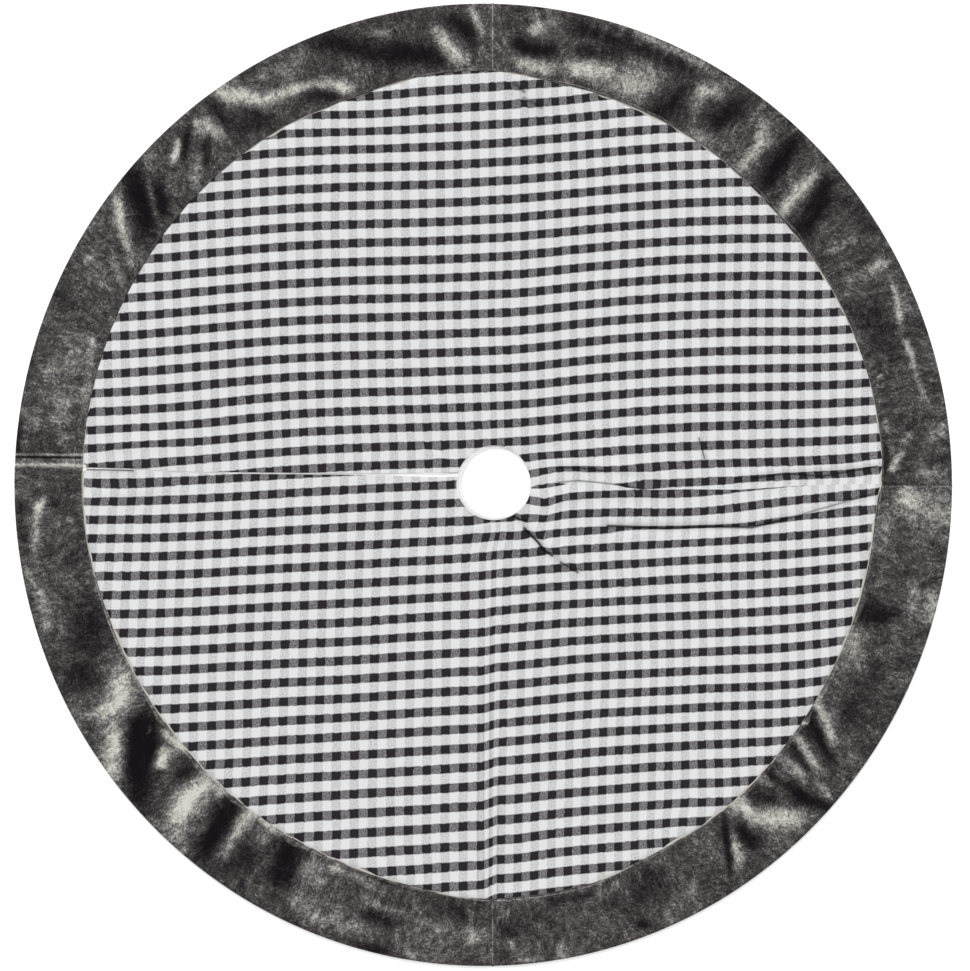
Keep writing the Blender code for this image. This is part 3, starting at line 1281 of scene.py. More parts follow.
@dataclass(frozen=True)
class VelvetFinish:
    """Crushed velvet, its sheen painted in: near black where the pile leans away, silver-olive where it
    lies over.

    Attributes:
        stops: the colour at each lean of the pile, with its painted sheen, from leaning away to lying over.
        middle: the lean where nothing combs it.
        combed: how much the strokes of the nap change the lean.
        lumps: scale in lumps a metre and amount of each noise that roughens the lean.
        streaks: the amount of the streaks that run from the seam to the outline.
    """

    stops: tuple[tuple[float, Colour], ...] = (
        (0.00, linear("0c090c")),
        (0.12, linear("161215")),
        (0.26, linear("231f22")),
        (0.42, linear("3a3737")),
        (0.55, linear("534f50")),
        (0.68, linear("787674")),
        (0.84, linear("a9a8a0")),
        (1.00, linear("d6d5cd")),
    )
    middle: float = 0.485
    combed: float = 0.40
    lumps: tuple[tuple[float, float], ...] = ((24.0, 0.40), (130.0, 0.50), (380.0, 0.80))
    streaks: float = 0.45

    def make(self) -> Material:
        """Adds lumps and streaks of noise to the combed nap, reads the colour and its painted sheen off its
        lean, and paints a highlight along the edges.

        Returns:
            The velvet's material.
        """
        material, nodes, shader = new_material("crushed_velvet")
        place = nodes.place()
        total = nodes.math("ADD", nodes.math("MULTIPLY", nodes.mark("nap"), self.combed), self.middle)
        warped = nodes.warp(place, 22.0, 0.03)
        for scale, amount in self.lumps:
            total = nodes.math("ADD", total, nodes.swing(nodes.noise(warped, scale, 2.0, 0.6), amount))
        slanted = nodes.warp(nodes.cloth(), 7.0, 0.10)
        streak = nodes.noise(nodes.scaled(slanted, (120.0, 26.0, 1.0)), 1.0, 3.0, 0.65)
        total = nodes.math("ADD", total, nodes.swing(streak, self.streaks))
        # The velvet's own dark grey, with the pile's sheen painted in by the lean of the nap.
        colour = nodes.ramp(total, self.stops)
        # A painted highlight along the border's seam, the slit and the seams between quarters, broken up by
        # noise.
        highlight_strength = nodes.remap(nodes.noise(place, 160.0, 2.0, 0.7), 0.35, 0.65, 0.1, 0.75)
        colour = nodes.mix(nodes.math("MULTIPLY", nodes.mark("edge"), highlight_strength), colour, linear("d8d6cf"))
        pile = nodes.noise(place, 1400.0, 2.0, 0.6)
        height = nodes.math("ADD", total, nodes.math("MULTIPLY", pile, 0.3))
        roughness = nodes.remap(total, 0.2, 0.9, 0.80, 0.60)
        nodes.finish(shader, colour, roughness, nodes.bump(height, 0.0012, 0.45), 0.10)
        shader.inputs["Sheen Weight"].default_value = 0.12
        shader.inputs["Sheen Roughness"].default_value = 0.35
        shader.inputs["Sheen Tint"].default_value = (*linear("c8c6b8"), 1.0)
        return material


@dataclass(frozen=True)
class WovenFinish:
    """Plain white cotton: the lining, and the tape round the hole and along the slit.

    Attributes:
        groups: the shared shader groups.
        name: the material's name.
        colour: the threads on top.
        shade: the threads between them.
        threads_a_metre: how fine the weave is.
        stitch_away: how far from the folded edge a row of stitches runs, or nought for none.
        stitch_pitch: from one stitch to the next.
        stitch_width: half the width of the row.
    """

    groups: Groups
    name: str
    colour: Colour
    shade: Colour
    threads_a_metre: float
    stitch_away: float = 0.0
    stitch_pitch: float = 0.0026
    stitch_width: float = 0.0004

    def make(self) -> Material:
        """A plain weave in two close whites, with a row of stitches where the map's second part is given.

        Returns:
            The cotton's material.
        """
        material, nodes, shader = new_material(self.name)
        place = nodes.place()
        threads = nodes.scaled(place, (self.threads_a_metre, self.threads_a_metre, 1.0))
        patches = nodes.noise(place, 60.0, 3.0, 0.6)
        cover = nodes.math("ADD", nodes.math("MULTIPLY", patches, 0.4), 0.3)
        weave = nodes.group(self.groups.weave, Threads=threads, Cover=cover)
        colour = nodes.mix(nodes.math("MULTIPLY", weave.outputs["Warp"], 0.6), self.colour, self.shade)
        height = weave.outputs["Height"]
        if self.stitch_away:
            along, away = nodes.split(nodes.cloth())
            away = nodes.math("SUBTRACT", away, self.stitch_away)
            row = nodes.group(self.groups.stitch, Along=along, Away=away, Pitch=self.stitch_pitch,
                              Width=self.stitch_width)
            colour = nodes.mix(nodes.math("MULTIPLY", row.outputs["Stitch"], 0.5), colour, linear("b9b9b6"))
            height = nodes.math("ADD", height, nodes.math("MULTIPLY", row.outputs["Stitch"], 1.5))
        roughness = nodes.remap(patches, 0.2, 0.8, 0.75, 0.9)
        nodes.finish(shader, colour, roughness, nodes.bump(height, 0.00018, 0.4), 0.2)
        return material


@dataclass(frozen=True)
class WaddingFinish:
    """Needled polyester wadding: short fibres, off-white."""

    colour: Colour = linear("d9d6cc")
    shade: Colour = linear("b9b5a8")

    def make(self) -> Material:
        """Two stretched noises crossed, as matted fibres are, over slow lumps.

        Returns:
            The wadding's material.
        """
        material, nodes, shader = new_material("polyester_wadding")
        place = nodes.place()
        one_way = nodes.noise(nodes.scaled(place, (300.0, 2600.0, 900.0), 0.6), 1.0, 3.0, 0.7)
        other_way = nodes.noise(nodes.scaled(place, (2400.0, 320.0, 900.0), 0.3), 1.0, 3.0, 0.7)
        fibres = nodes.math("MULTIPLY", one_way, other_way)
        lumps = nodes.noise(place, 90.0, 3.0, 0.6)
        share = nodes.math("ADD", nodes.math("MULTIPLY", fibres, 1.6), nodes.math("MULTIPLY", lumps, 0.4))
        roughness = nodes.remap(lumps, 0.2, 0.8, 0.88, 0.98)
        colour = nodes.mix(share, self.shade, self.colour)
        nodes.finish(shader, colour, roughness, nodes.bump(fibres, 0.0006, 0.6), 0.15)
        return material


@dataclass(frozen=True)
class Finishes:
    """Every material of the skirt."""

    gingham: Material
    velvet: Material
    lining: Material
    wadding: Material
    tape: Material

    @classmethod
    def make(cls) -> "Finishes":
        """Makes each finish once."""
        groups = Groups.make()
        return cls(
            gingham=GinghamFinish(groups).make(),
            velvet=VelvetFinish().make(),
            lining=WovenFinish(groups, "lining_cotton", linear("ecebe6"), linear("cfcec8"), 1100.0).make(),
            wadding=WaddingFinish().make(),
            tape=WovenFinish(groups, "cotton_tape", linear("fafafa"), linear("e6e6e6"), 1500.0,
                             stitch_away=0.0030).make(),
        )


# ---- Gingham, wadding and lining ----


@dataclass(frozen=True)
class Path:
    """How a seam or a slit wanders from its straight line.

    Attributes:
        knots: x along the line and how far the cloth stands above the line there, in rising x.
        reach: how far from the line the wandering has mostly died away.
    """

    knots: tuple[Point, ...]
    reach: float

    def shift(self, x: Array, away: Array) -> Array:
        """How far each place moves towards +Y: the knots joined by straight runs, times a bell curve."""
        xs, ys = zip(*self.knots)
        return np.interp(x, xs, ys) * np.exp(-((away / self.reach) ** 2))


SEAM_PATH = Path((
    (0.018, 0.0), (0.048, -0.003), (0.076, -0.003), (0.099, 0.0010), (0.120, 0.0062), (0.158, 0.0050),
    (0.185, -0.0020), (0.214, -0.0046), (0.263, -0.0038), (0.330, -0.0042), (0.377, -0.0012),
    (0.415, 0.0014), (0.510, 0.0034),
), 0.030)
SLIT_PATH = Path((
    (-0.518, 0.0), (-0.450, -0.0008), (-0.410, -0.0026), (-0.363, -0.0042), (-0.300, -0.0040),
    (-0.158, -0.0036), (-0.050, -0.0036), (-0.034, -0.0026), (-0.010, 0.0),
), 0.030)


def settle(plan: Plan, x: Array, y: Array) -> Array:
    """The y of each place once the seam at three o'clock and the slit wander.

    Args:
        plan: the skirt's plan.
        x: places' x.
        y: places' y.

    Returns:
        The new y.
    """
    right = SEAM_PATH.shift(x, y - plan.seam_y) * (x > 0)
    left = SLIT_PATH.shift(x, plan.slit.distance(x, y)) * (x < 0)
    return y + right + left


@dataclass
class GinghamQuarter:
    """One quarter's checked cloth.

    Attributes:
        plan: the skirt's plan.
        relief: its wrinkles.
        rows: grid rows from the hole to the border.
        columns: grid columns round the quarter.
        crowding: how much closer the columns stand at the quarter's sides.
        thickness: of the cloth.
        slit_show: how much tape the cloth leaves showing along the slit.
        hole_show: how much more it leaves showing where the slit meets the hole.
    """

    plan: Plan
    relief: Relief
    rows: int = 150
    columns: int = 236
    crowding: float = 0.62
    thickness: float = 0.0006
    slit_show: float = 0.0009
    hole_show: float = 0.0022

    HOLE_NEAR = 0.09
    HOLE_FADE = 0.03
    EDGE_POWER = 12

    def surface(self, quarter: Quarter, inner: Oval, outer: Oval, rows: int,
                columns: int) -> tuple[Array, ...]:
        """Places and heights of the quarter's top cloth between two ovals, drawn back a little at the slit.

        Args:
            quarter: the quarter.
            inner: the oval round the hole.
            outer: the oval at the border.
            rows: grid rows.
            columns: grid columns.

        Returns:
            x, y and the height of the gingham's upper face, rows by columns.
        """
        round_ = crowded(columns, self.crowding)
        follow = self.plan if outer == self.plan.border_seam else None
        x, y = quarter.grid(inner, outer, np.linspace(0, 1, rows), round_, follow)
        past = np.maximum(self.plan.slit.along(x, y) - self.HOLE_NEAR, 0)
        back = self.slit_show + self.hole_show * np.exp(-past / self.HOLE_FADE)
        normal_x, normal_y = -math.sin(self.plan.slit.heading), math.cos(self.plan.slit.heading)
        if quarter.end == self.plan.slit:
            near = (round_ ** self.EDGE_POWER)[None, :] * back
            x, y = x - normal_x * near, y - normal_y * near
        if quarter.start == self.plan.slit:
            near = ((1 - round_) ** self.EDGE_POWER)[None, :] * back
            x, y = x + normal_x * near, y + normal_y * near
        y = settle(self.plan, x, y)
        return x, y, self.plan.gingham_top + self.relief.height(x, y)

    def build(self, quarter: Quarter, material: Material) -> Piece:
        """Makes the cloth, mapped in repeats of the check.

        Args:
            quarter: the quarter.
            material: the gingham's material.

        Returns:
            The piece.
        """
        plan = self.plan
        x, y, z = self.surface(quarter, plan.hole, plan.border_seam, self.rows, self.columns)
        move_x, move_y = self.relief.pull(x, y, quarter.side)
        columns, rows = GRAIN[quarter.side]
        grain = np.stack([columns.at(x + move_x, y + move_y), rows.at(x + move_x, y + move_y)], -1)
        cloth = Cloth(stack(x, y, z), stack(x, y, z - self.thickness), grain)
        node = f"gingham_{quarter.name}"
        piece = finish_piece(cloth.build(f"{node}_cloth", material), quarter, node, "gingham")
        return piece


@dataclass
class InnerQuarter:
    """One quarter's hidden layers, the wadding and the lining under it.

    Attributes:
        plan: the skirt's plan.
        top_cloth: the gingham above them.
        rows: grid rows from the hole to the hem.
        columns: grid columns round the quarter, close enough to bend smoothly.
        clearance: between the wadding and the gingham.
        least: the wadding's least thickness.
        lining_swell: the lining's unevenness.
        lining_thickness: of the lining.
    """

    plan: Plan
    top_cloth: GinghamQuarter
    rows: int = 76
    columns: int = 210
    clearance: float = 0.00025
    least: float = 0.0006
    lining_swell: float = 0.00025
    lining_thickness: float = 0.0004

    # Where the wadding flattens out under the velvet, outwards from the border's seam.
    FLATTENING = (-0.004, 0.002)

    def build(self, quarter: Quarter, finishes: Finishes) -> None:
        """Makes the lining, slightly uneven, and the wadding, pressed thin in valleys and filling ridges.

        Args:
            quarter: the quarter.
            finishes: the skirt's materials.
        """
        plan = self.plan
        outer = plan.outline.inset(HEM_WIDTH + SEWN_GAP)
        x, y, z = self.top_cloth.surface(quarter, plan.hole, outer, self.rows, self.columns)
        lie = self.lining_swell * 0.5 * (1 + np.sin(x * 71 + 2 * np.sin(y * 23)) * np.sin(y * 57 + 1.4))
        top = plan.lining_top - 0.0001 + 0.3 * lie
        under_velvet = smooth(-plan.from_seam(x, y), *self.FLATTENING)
        under = z - self.top_cloth.thickness - self.clearance
        under = under + (plan.wadding[1] - under) * under_velvet
        foot = np.full_like(under, plan.wadding[0])
        layers = (
            ("lining", "cloth", top, top - self.lining_thickness, finishes.lining, "ground"),
            ("interlining", "slab", np.maximum(under, foot + self.least), foot, finishes.wadding,
             f"lining_{quarter.name}_cloth"),
        )
        for kind, form, upper, lower, material, rests_on in layers:
            node = f"{kind}_{quarter.name}"
            cloth = Cloth(stack(x, y, upper), stack(x, y, lower), np.stack([x, y], -1))
            piece = finish_piece(cloth.build(f"{node}_{form}", material), quarter, node, kind)


# ---- Velvet border ----


@dataclass(frozen=True)
class Stroke:
    """A patch of velvet whose pile leans one way.

    Attributes:
        angle: where its middle lies, in degrees anticlockwise from three o'clock.
        inset: how far inside the outline its middle lies, in millimetres.
        length: its half-length, in millimetres.
        width: its half-width, in millimetres.
        slant: the way its length runs, in degrees: 0 is clockwise round the border, 90 is outwards.
        shine: one for fully bright, minus one for fully dark.
    """

    angle: float
    inset: float
    length: float
    width: float
    slant: float
    shine: float

    def at(self, angle: Array, inset: Array, radius: float) -> Array:
        """Shine times a bell curve that is long one way; its line is bent a little by a slow wave.

        Args:
            angle: places' angle, in degrees.
            inset: how far inside the outline they lie.
            radius: of the border's middle.

        Returns:
            The lean that the stroke adds.
        """
        turn = math.radians(self.slant)
        clockwise = np.radians((self.angle - angle + 180) % 360 - 180) * radius * 1e3
        outwards = self.inset - inset * 1e3
        along = (clockwise * math.cos(turn) + outwards * math.sin(turn)) / self.length
        across = (outwards * math.cos(turn) - clockwise * math.sin(turn)) / self.width
        across = across + 0.25 * np.sin(2.2 * along + self.angle)
        return self.shine * np.exp(-(along**4) - across**2)


STROKES: tuple[Stroke, ...] = tuple(Stroke(*stroke) for stroke in (
    # Three to one o'clock.
    (42.7, 53, 38, 9, 97, 1.2), (39.7, 53, 40, 13, 111, -1.2), (33.8, 46, 18, 8, 80, 0.45),
    (28.9, 21, 12, 10, 45, 0.5), (23.6, 24, 30, 4.5, -12, 0.9), (17.4, 30, 20, 4.5, 8, 1.0),
    (12.6, 27, 26, 5, 12, 0.6), (6.9, 8, 8, 4, 0, 0.5), (6.2, 21, 10, 5, 0, 0.35),
    (3.1, 70, 16, 5, -35, 0.9), (6.2, 56, 10, 6, -30, 0.5), (8.5, 77, 12, 4, 0, 0.5),
    (3.9, 83, 24, 4, -5, -0.8), (3.3, 11, 14, 6, 90, -0.5), (1.6, 25, 18, 5, 90, 0.5),
    (22, 56, 50, 22, 0, -0.35), (35.5, 14, 30, 12, 0, -0.3), (29.2, 34, 15, 8, 60, 0.3),
    (25, 56, 6, 5, 0, 0.4), (15.1, 75, 7, 3, -60, 0.5), (17, 64, 12, 4, 0, 0.3),
    # One to twelve o'clock.
    (83.4, 27, 11, 8, 45, 1.0), (82.8, 72, 30, 9, 5, 0.9), (75.9, 63, 34, 12, 14, 0.95),
    (69.6, 56, 30, 24, 70, 0.75), (64, 63, 32, 16, 70, -0.8), (83.1, 51, 28, 9, 5, -1.0),
    (71.6, 19, 85, 9, -2, -0.7), (75.2, 40, 35, 8, 10, -0.5), (76.9, 32, 16, 5, 20, 0.3),
    (65.7, 5.5, 55, 5, -3, 0.6), (60.1, 30, 16, 8, 20, 0.8), (61.1, 50, 12, 10, 80, 0.4),
    (56.8, 40, 28, 13, 90, -0.8), (50.9, 56, 30, 8, 95, 1.0), (52.2, 30, 14, 8, 100, 0.45),
    (47.3, 46, 38, 12, 92, -1.2), (57.8, 79, 22, 9, 10, 0.45), (75.9, 82, 25, 4, -10, -0.3),
    (83.3, 1, 6, 2, 0, -1.0), (59.3, 0.7, 4, 1.5, 0, -1.5), (57.2, 0.7, 5, 1.5, 0, -1.3),
    (49.9, 0.7, 4, 1.5, 0, -1.5), (80.8, 16, 10, 6, -20, 0.3),
    # Twelve to half past ten.
    (132.7, 29, 17, 5, 37, 1.2), (131.0, 30, 25, 4, 42, -0.9), (127.7, 34, 22, 11, 115, 0.8),
    (131.4, 61, 14, 6, 45, 0.55), (133.7, 75, 12, 8, 40, 0.5), (123, 14, 16, 12, 100, 1.0),
    (120.5, 38, 22, 10, -32, 1.0), (116.3, 51, 26, 8, -14, 0.95), (111.3, 64, 30, 9, -24, 0.9),
    (109, 74, 12, 8, -30, 0.5), (112.3, 74, 26, 8, -25, -0.8), (122.5, 61, 26, 14, -30, -0.6),
    (129.7, 56, 18, 6, 42, -0.8), (125.5, 27, 18, 8, 100, -0.7), (106.7, 30, 45, 12, -25, -0.9),
    (98.9, 61, 42, 14, -20, -1.1), (102.8, 22, 14, 6, -25, 0.6), (94.4, 55, 30, 10, -46, 1.1),
    (92.6, 34, 28, 9, -50, -0.9), (90.8, 24, 22, 6, 100, 0.8), (115.3, 18, 36, 12, -5, 0.25),
    # Half past ten to nine.
    (174.3, 3, 18, 4, 0, -0.9), (172.1, 21, 10, 8, 60, 0.4), (169.8, 55, 18, 12, 0, 0.35),
    (165.2, 27, 12, 8, -45, 0.5), (164.6, 77, 48, 7, 6, 0.45), (160, 71, 8, 4, 15, 0.6),
    (173.9, 61, 8, 4, -60, 0.5), (155.7, 27, 28, 12, 90, -0.45), (150.3, 22, 6, 6, 0, 0.7),
    (143.5, 30, 34, 8, 52, 1.1), (146.8, 64, 22, 6, 42, 0.8), (149.4, 62, 22, 6, 50, 0.4),
    (152.2, 58, 20, 5, 95, 0.35), (140.6, 40, 46, 15, 52, -1.2), (138.3, 56, 26, 9, 62, -1.0),
    (139.4, 50, 28, 4.5, 56, 0.9), (136, 14, 14, 10, 20, 0.45), (136.3, 53, 14, 10, 60, 0.3),
    (160.3, 50, 100, 35, 0, 0.2),
    # Nine to half past seven.
    (215.8, 18, 36, 14, -38, 1.1), (209.6, 58, 34, 16, -42, 1.15), (210.5, 30, 14, 10, 80, 0.6),
    (218.8, 40, 56, 16, -38, -1.3), (216.5, 56, 30, 16, -40, -0.9), (220.4, 59, 14, 9, -40, 1.3),
    (219.7, 84, 26, 6, 18, 1.3), (224.0, 72, 16, 8, 60, -0.6), (205.3, 34, 18, 18, 0, -0.5),
    (200.7, 56, 26, 22, 0, -0.6), (198.7, 32, 12, 4, 0, 0.5), (196.1, 16, 30, 8, 0, 0.5),
    (191.5, 8, 12, 6, 0, 0.6), (185.6, 26, 34, 7, -15, 0.75), (182.6, 34, 12, 4, -35, 0.8),
    (185, 69, 6, 3, 30, 0.6), (185.6, 8, 30, 6, 0, -0.35), (195.4, 69, 40, 12, 0, -0.3),
    (216.3, 67, 6, 3, -60, 1.6),
    # Half past seven to six.
    (227.3, 53, 40, 15, 95, 1.4), (229.6, 88, 12, 10, 45, 1.0), (229.8, 11, 14, 8, -40, 0.5),
    (232.1, 50, 40, 14, 110, -1.2), (234.7, 63, 30, 9, 85, 0.95), (234.7, 21, 12, 6, 90, 0.35),
    (242.2, 59, 28, 18, 90, -1.2), (237.5, 37, 26, 18, 80, -0.6), (238.5, 85, 24, 5, 0, 0.9),
    (237.8, 63, 14, 10, 60, 0.5), (245.7, 66, 18, 13, 60, 0.7), (247.5, 55, 8, 5, 40, 0.7),
    (249, 79, 12, 5, 0, 0.9), (256.2, 56, 30, 5, -6, 0.5), (252.6, 77, 26, 6, 0, 0.6),
    (250.3, 21, 52, 10, 2, 0.55), (256.9, 40, 26, 7, 0, -0.6), (255.9, 5, 30, 5, 0, -0.6),
    (268.4, 40, 12, 10, 90, 0.5), (261.3, 6, 8, 8, 90, 0.7), (263.4, 46, 24, 7, 0, 0.35),
    (264, 24, 50, 18, 0, 0.2), (255.5, 88, 30, 5, 0, -0.6), (266.4, 69, 16, 8, -20, -0.4),
    # Six to half past four.
    (311, 40, 42, 14, -52, 0.95), (308.8, 77, 16, 9, -50, 0.8), (307.1, 43, 20, 11, -60, -1.0),
    (304.8, 40, 22, 6, 58, 1.0), (304.0, 48, 34, 4, 58, -1.1), (311.7, 69, 18, 12, -60, -0.7),
    (314.7, 78, 16, 7, 80, -0.8), (314, 77, 14, 4, 85, 0.6), (314.7, 37, 10, 10, 0, -0.5),
    (290, 14, 10, 6, -20, -0.7), (292.3, 56, 30, 18, 0, -0.4), (279.5, 11, 12, 10, 60, 0.5),
    (297.3, 27, 10, 5, 60, 0.35), (273.6, 30, 8, 6, 60, 0.5), (275.3, 6, 12, 4, 0, 0.5),
    (273, 46, 14, 10, -50, -0.5), (286.4, 71, 30, 6, 8, 0.35), (282.2, 77, 36, 5, -2, -0.5),
    (277.9, 59, 16, 16, 0, -0.3),
    # Half past four to three.
    (356.4, 27, 40, 30, 60, 0.6), (358.4, 53, 16, 12, 60, 0.5), (344.6, 6, 20, 10, 15, 0.7),
    (345.5, 29, 22, 7, 15, 0.6), (353, 72, 28, 8, 5, 0.4), (341.9, 66, 20, 18, 60, -0.9),
    (335.4, 69, 36, 16, 20, 0.45), (333, 43, 30, 12, 25, -0.35), (325.2, 66, 34, 7, 50, 1.1),
    (328.8, 92, 18, 6, 12, 0.8), (323.2, 63, 36, 9, 58, -1.1), (323.5, 87, 6, 4, 30, 1.6),
    (320.4, 63, 28, 7, 80, 0.9), (319.3, 69, 26, 5, 75, -0.8), (317.6, 69, 24, 7, 88, 0.7),
    (318.1, 19, 14, 4, 85, 0.6), (316.1, 30, 30, 7, 100, -1.0), (328.5, 43, 20, 12, 30, -0.5),
    (326.8, 63, 6, 4, 0, 0.5),
))


@dataclass
class VelvetQuarter:
    """One quarter's border: turned under at its seam, crowned, rolled over the edge and hemmed below.

    Attributes:
        plan: the skirt's plan.
        columns: grid columns round the quarter.
        crowding: how much closer they stand at the quarter's sides.
        thickness: of the velvet with its pile.
        crush: how high the nap strokes raise the pile.
        seam_depth: how far it is drawn down into the seams between quarters.
        seam_reach: how far from such a seam that is felt.
        turn_radius: of the turn at the border's own seam.
        crown: how much lower the border is at that turn than at its edge.
        hem_dip: how deep the hem beside the slit is stitched.
        swell: the border's slow unevenness.
    """

    plan: Plan
    columns: int = 330
    crowding: float = 0.60
    thickness: float = 0.0013
    crush: float = 0.0006
    seam_depth: float = 0.0018
    seam_reach: float = 0.0026
    turn_radius: float = 0.0020
    crown: float = 0.0004
    hem_dip: float = 0.0006
    swell: float = 0.0003

    # How strong the painted highlight along the border's seam is, by angle.
    EDGE_HIGHLIGHT = (
        (0, 0.6), (8, 0.3), (20, 0.25), (70, 0.3), (83, 0.9), (96, 0.9), (104, 0.3), (170, 0.35),
        (184, 0.9), (200, 1.0), (215, 0.5), (262, 0.4), (272, 0.8), (290, 0.7), (300, 0.3), (352, 0.3),
        (360, 0.6),
    )
    # How strong the painted highlight on the line of each seam between quarters is, by that seam's own
    # angle.
    LINES = ((0, 0.45), (90, 0.95), (178, 0.35), (270, 0.6), (360, 0.45))
    # The hem beside the slit: its shine, where it is stitched, and the middle, half-width and shine of
    # its edge, of the groove that the stitches draw and of the ridge past them.
    HEM_SHINE = 0.35
    HEM_STITCH = 0.0132
    HEM_LINES = ((0.0030, 0.0022, 0.9), (HEM_STITCH, 0.0010, -0.8), (0.0165, 0.0018, 0.8))

    def section(self) -> tuple[Array, Array, Array]:
        """The border's section.

        A quarter circle up from the seam, a slightly crowned top, half a circle over the edge, and the
        hem under it.

        Returns:
            Inset from the outline, height, and how much of the relief each row takes.
        """
        plan, radius = self.plan, self.turn_radius
        shoulder = plan.top - self.crown - radius
        turn = np.linspace(0, math.pi / 2, 7)
        foot = plan.velvet_foot - 0.0004
        insets = [np.full(2, plan.border_width), plan.border_width - radius + radius * np.cos(turn)]
        heights = [np.linspace(foot, shoulder, 3)[:2], shoulder + radius * np.sin(turn)]
        top = np.linspace(plan.border_width - radius, plan.top / 2, 44)[1:]
        share = (top - plan.top / 2) / (plan.border_width - radius - plan.top / 2)
        insets.append(top)
        heights.append(plan.top - self.crown * share**2)
        roll = np.linspace(math.pi / 2, 3 * math.pi / 2, 13)[1:]
        insets.append(plan.top / 2 + plan.top / 2 * np.cos(roll))
        heights.append(plan.top / 2 + plan.top / 2 * np.sin(roll))
        hem = np.linspace(plan.top / 2, HEM_WIDTH, 5)[1:]
        insets.append(hem)
        heights.append(np.zeros_like(hem))
        inset, height = np.concatenate(insets), np.concatenate(heights)
        seen = smooth(height, plan.top * 0.45, plan.top * 0.85)
        return inset, height, seen

    def nap(self, quarter: Quarter, x: Array, y: Array, inset: Array) -> Array:
        """The sum of all strokes and of the hem beside the slit, held between -1.3 and 1.5.

        Args:
            quarter: the quarter.
            x: places' x.
            y: places' y.
            inset: each row's inset from the outline.

        Returns:
            The lean of the nap.
        """
        total = np.zeros_like(x)
        angle = np.degrees(np.arctan2(y, x)) % 360
        radius = self.plan.outline.across - self.plan.border_width / 2
        for stroke in STROKES:
            total += stroke.at(angle, inset[:, None], radius)
        if quarter.end == self.plan.slit:
            away = np.abs(self.plan.slit.distance(x, y))
            total += self.HEM_SHINE * (1 - smooth(away, 0.010, 0.013))
            for middle, half, shine in self.HEM_LINES:
                total += shine * np.exp(-((away - middle) / half) ** 2)
        return np.clip(total, -1.3, 1.5)

    def build(self, quarter: Quarter, material: Material) -> Piece:
        """Makes the border.

        Args:
            quarter: the quarter.
            material: the velvet's material.

        Returns:
            The piece.
        """
        plan = self.plan
        inset, height, seen = self.section()
        round_ = crowded(self.columns, self.crowding)
        rings = [quarter.arc(plan.outline.inset(float(back)), round_) for back in inset]
        x = np.stack([ring[0] for ring in rings])
        y = np.stack([ring[1] for ring in rings])
        wander = plan.wander(x, y) * (seen * np.clip(inset / plan.border_width, 0, 1))[:, None]
        lower = (height < plan.top / 2) & (inset > HEM_WIDTH + 0.001)
        wander = np.where(lower[:, None], plan.wander(x, y), wander)
        share = 1 - wander / np.hypot(x, y)
        x, y = x * share, y * share
        nap = self.nap(quarter, x, y, inset)
        starts, ends = np.abs(quarter.start.distance(x, y)), np.abs(quarter.end.distance(x, y))
        to_seam = np.minimum(starts, ends)
        dip = self.seam_depth * np.exp(-((to_seam / self.seam_reach) ** 2))
        if quarter.end == plan.slit:
            dip = dip + self.hem_dip * np.exp(-(((ends - self.HEM_STITCH) / 0.0015) ** 2))
        swell = self.swell * np.sin(x * 83 + 2 * np.sin(y * 61)) * np.sin(y * 97 + 1.1)
        z = height[:, None] + seen[:, None] * (self.crush * (np.clip(nap, -1.2, 0.9) - 0.8) + swell - dip)
        angle = np.degrees(np.arctan2(y, x)) % 360
        # Where the painted highlight falls: along the border's seam, and along the seams between quarters.
        highlight_strength = np.interp(angle, *zip(*self.EDGE_HIGHLIGHT))
        edge = highlight_strength * np.exp(-((inset - plan.border_width) / 0.0010) ** 2)[:, None]
        line = np.interp(angle, *zip(*self.LINES))
        edge = np.maximum(edge, line * np.exp(-((to_seam / 0.0008) ** 2)))
        outer = stack(x, y, z)
        across = np.arctan2(y, x) * plan.outline.across
        grain = np.stack([across, np.broadcast_to(inset[:, None], x.shape)], -1)
        cloth = Cloth(outer, sunk(outer, self.thickness), grain, {"nap": nap, "edge": edge * seen[:, None]})
        node = f"velvet_border_{quarter.name}"
        piece = finish_piece(cloth.build(f"{node}_pile", material), quarter, node, "velvet")
        self.declare(piece)
        return piece

    def declare(self, piece: Piece) -> None:
        """Takes a curved strip and does nothing with it.

        Args:
            piece: the strip; not used.
        """


# ---- Tape ----


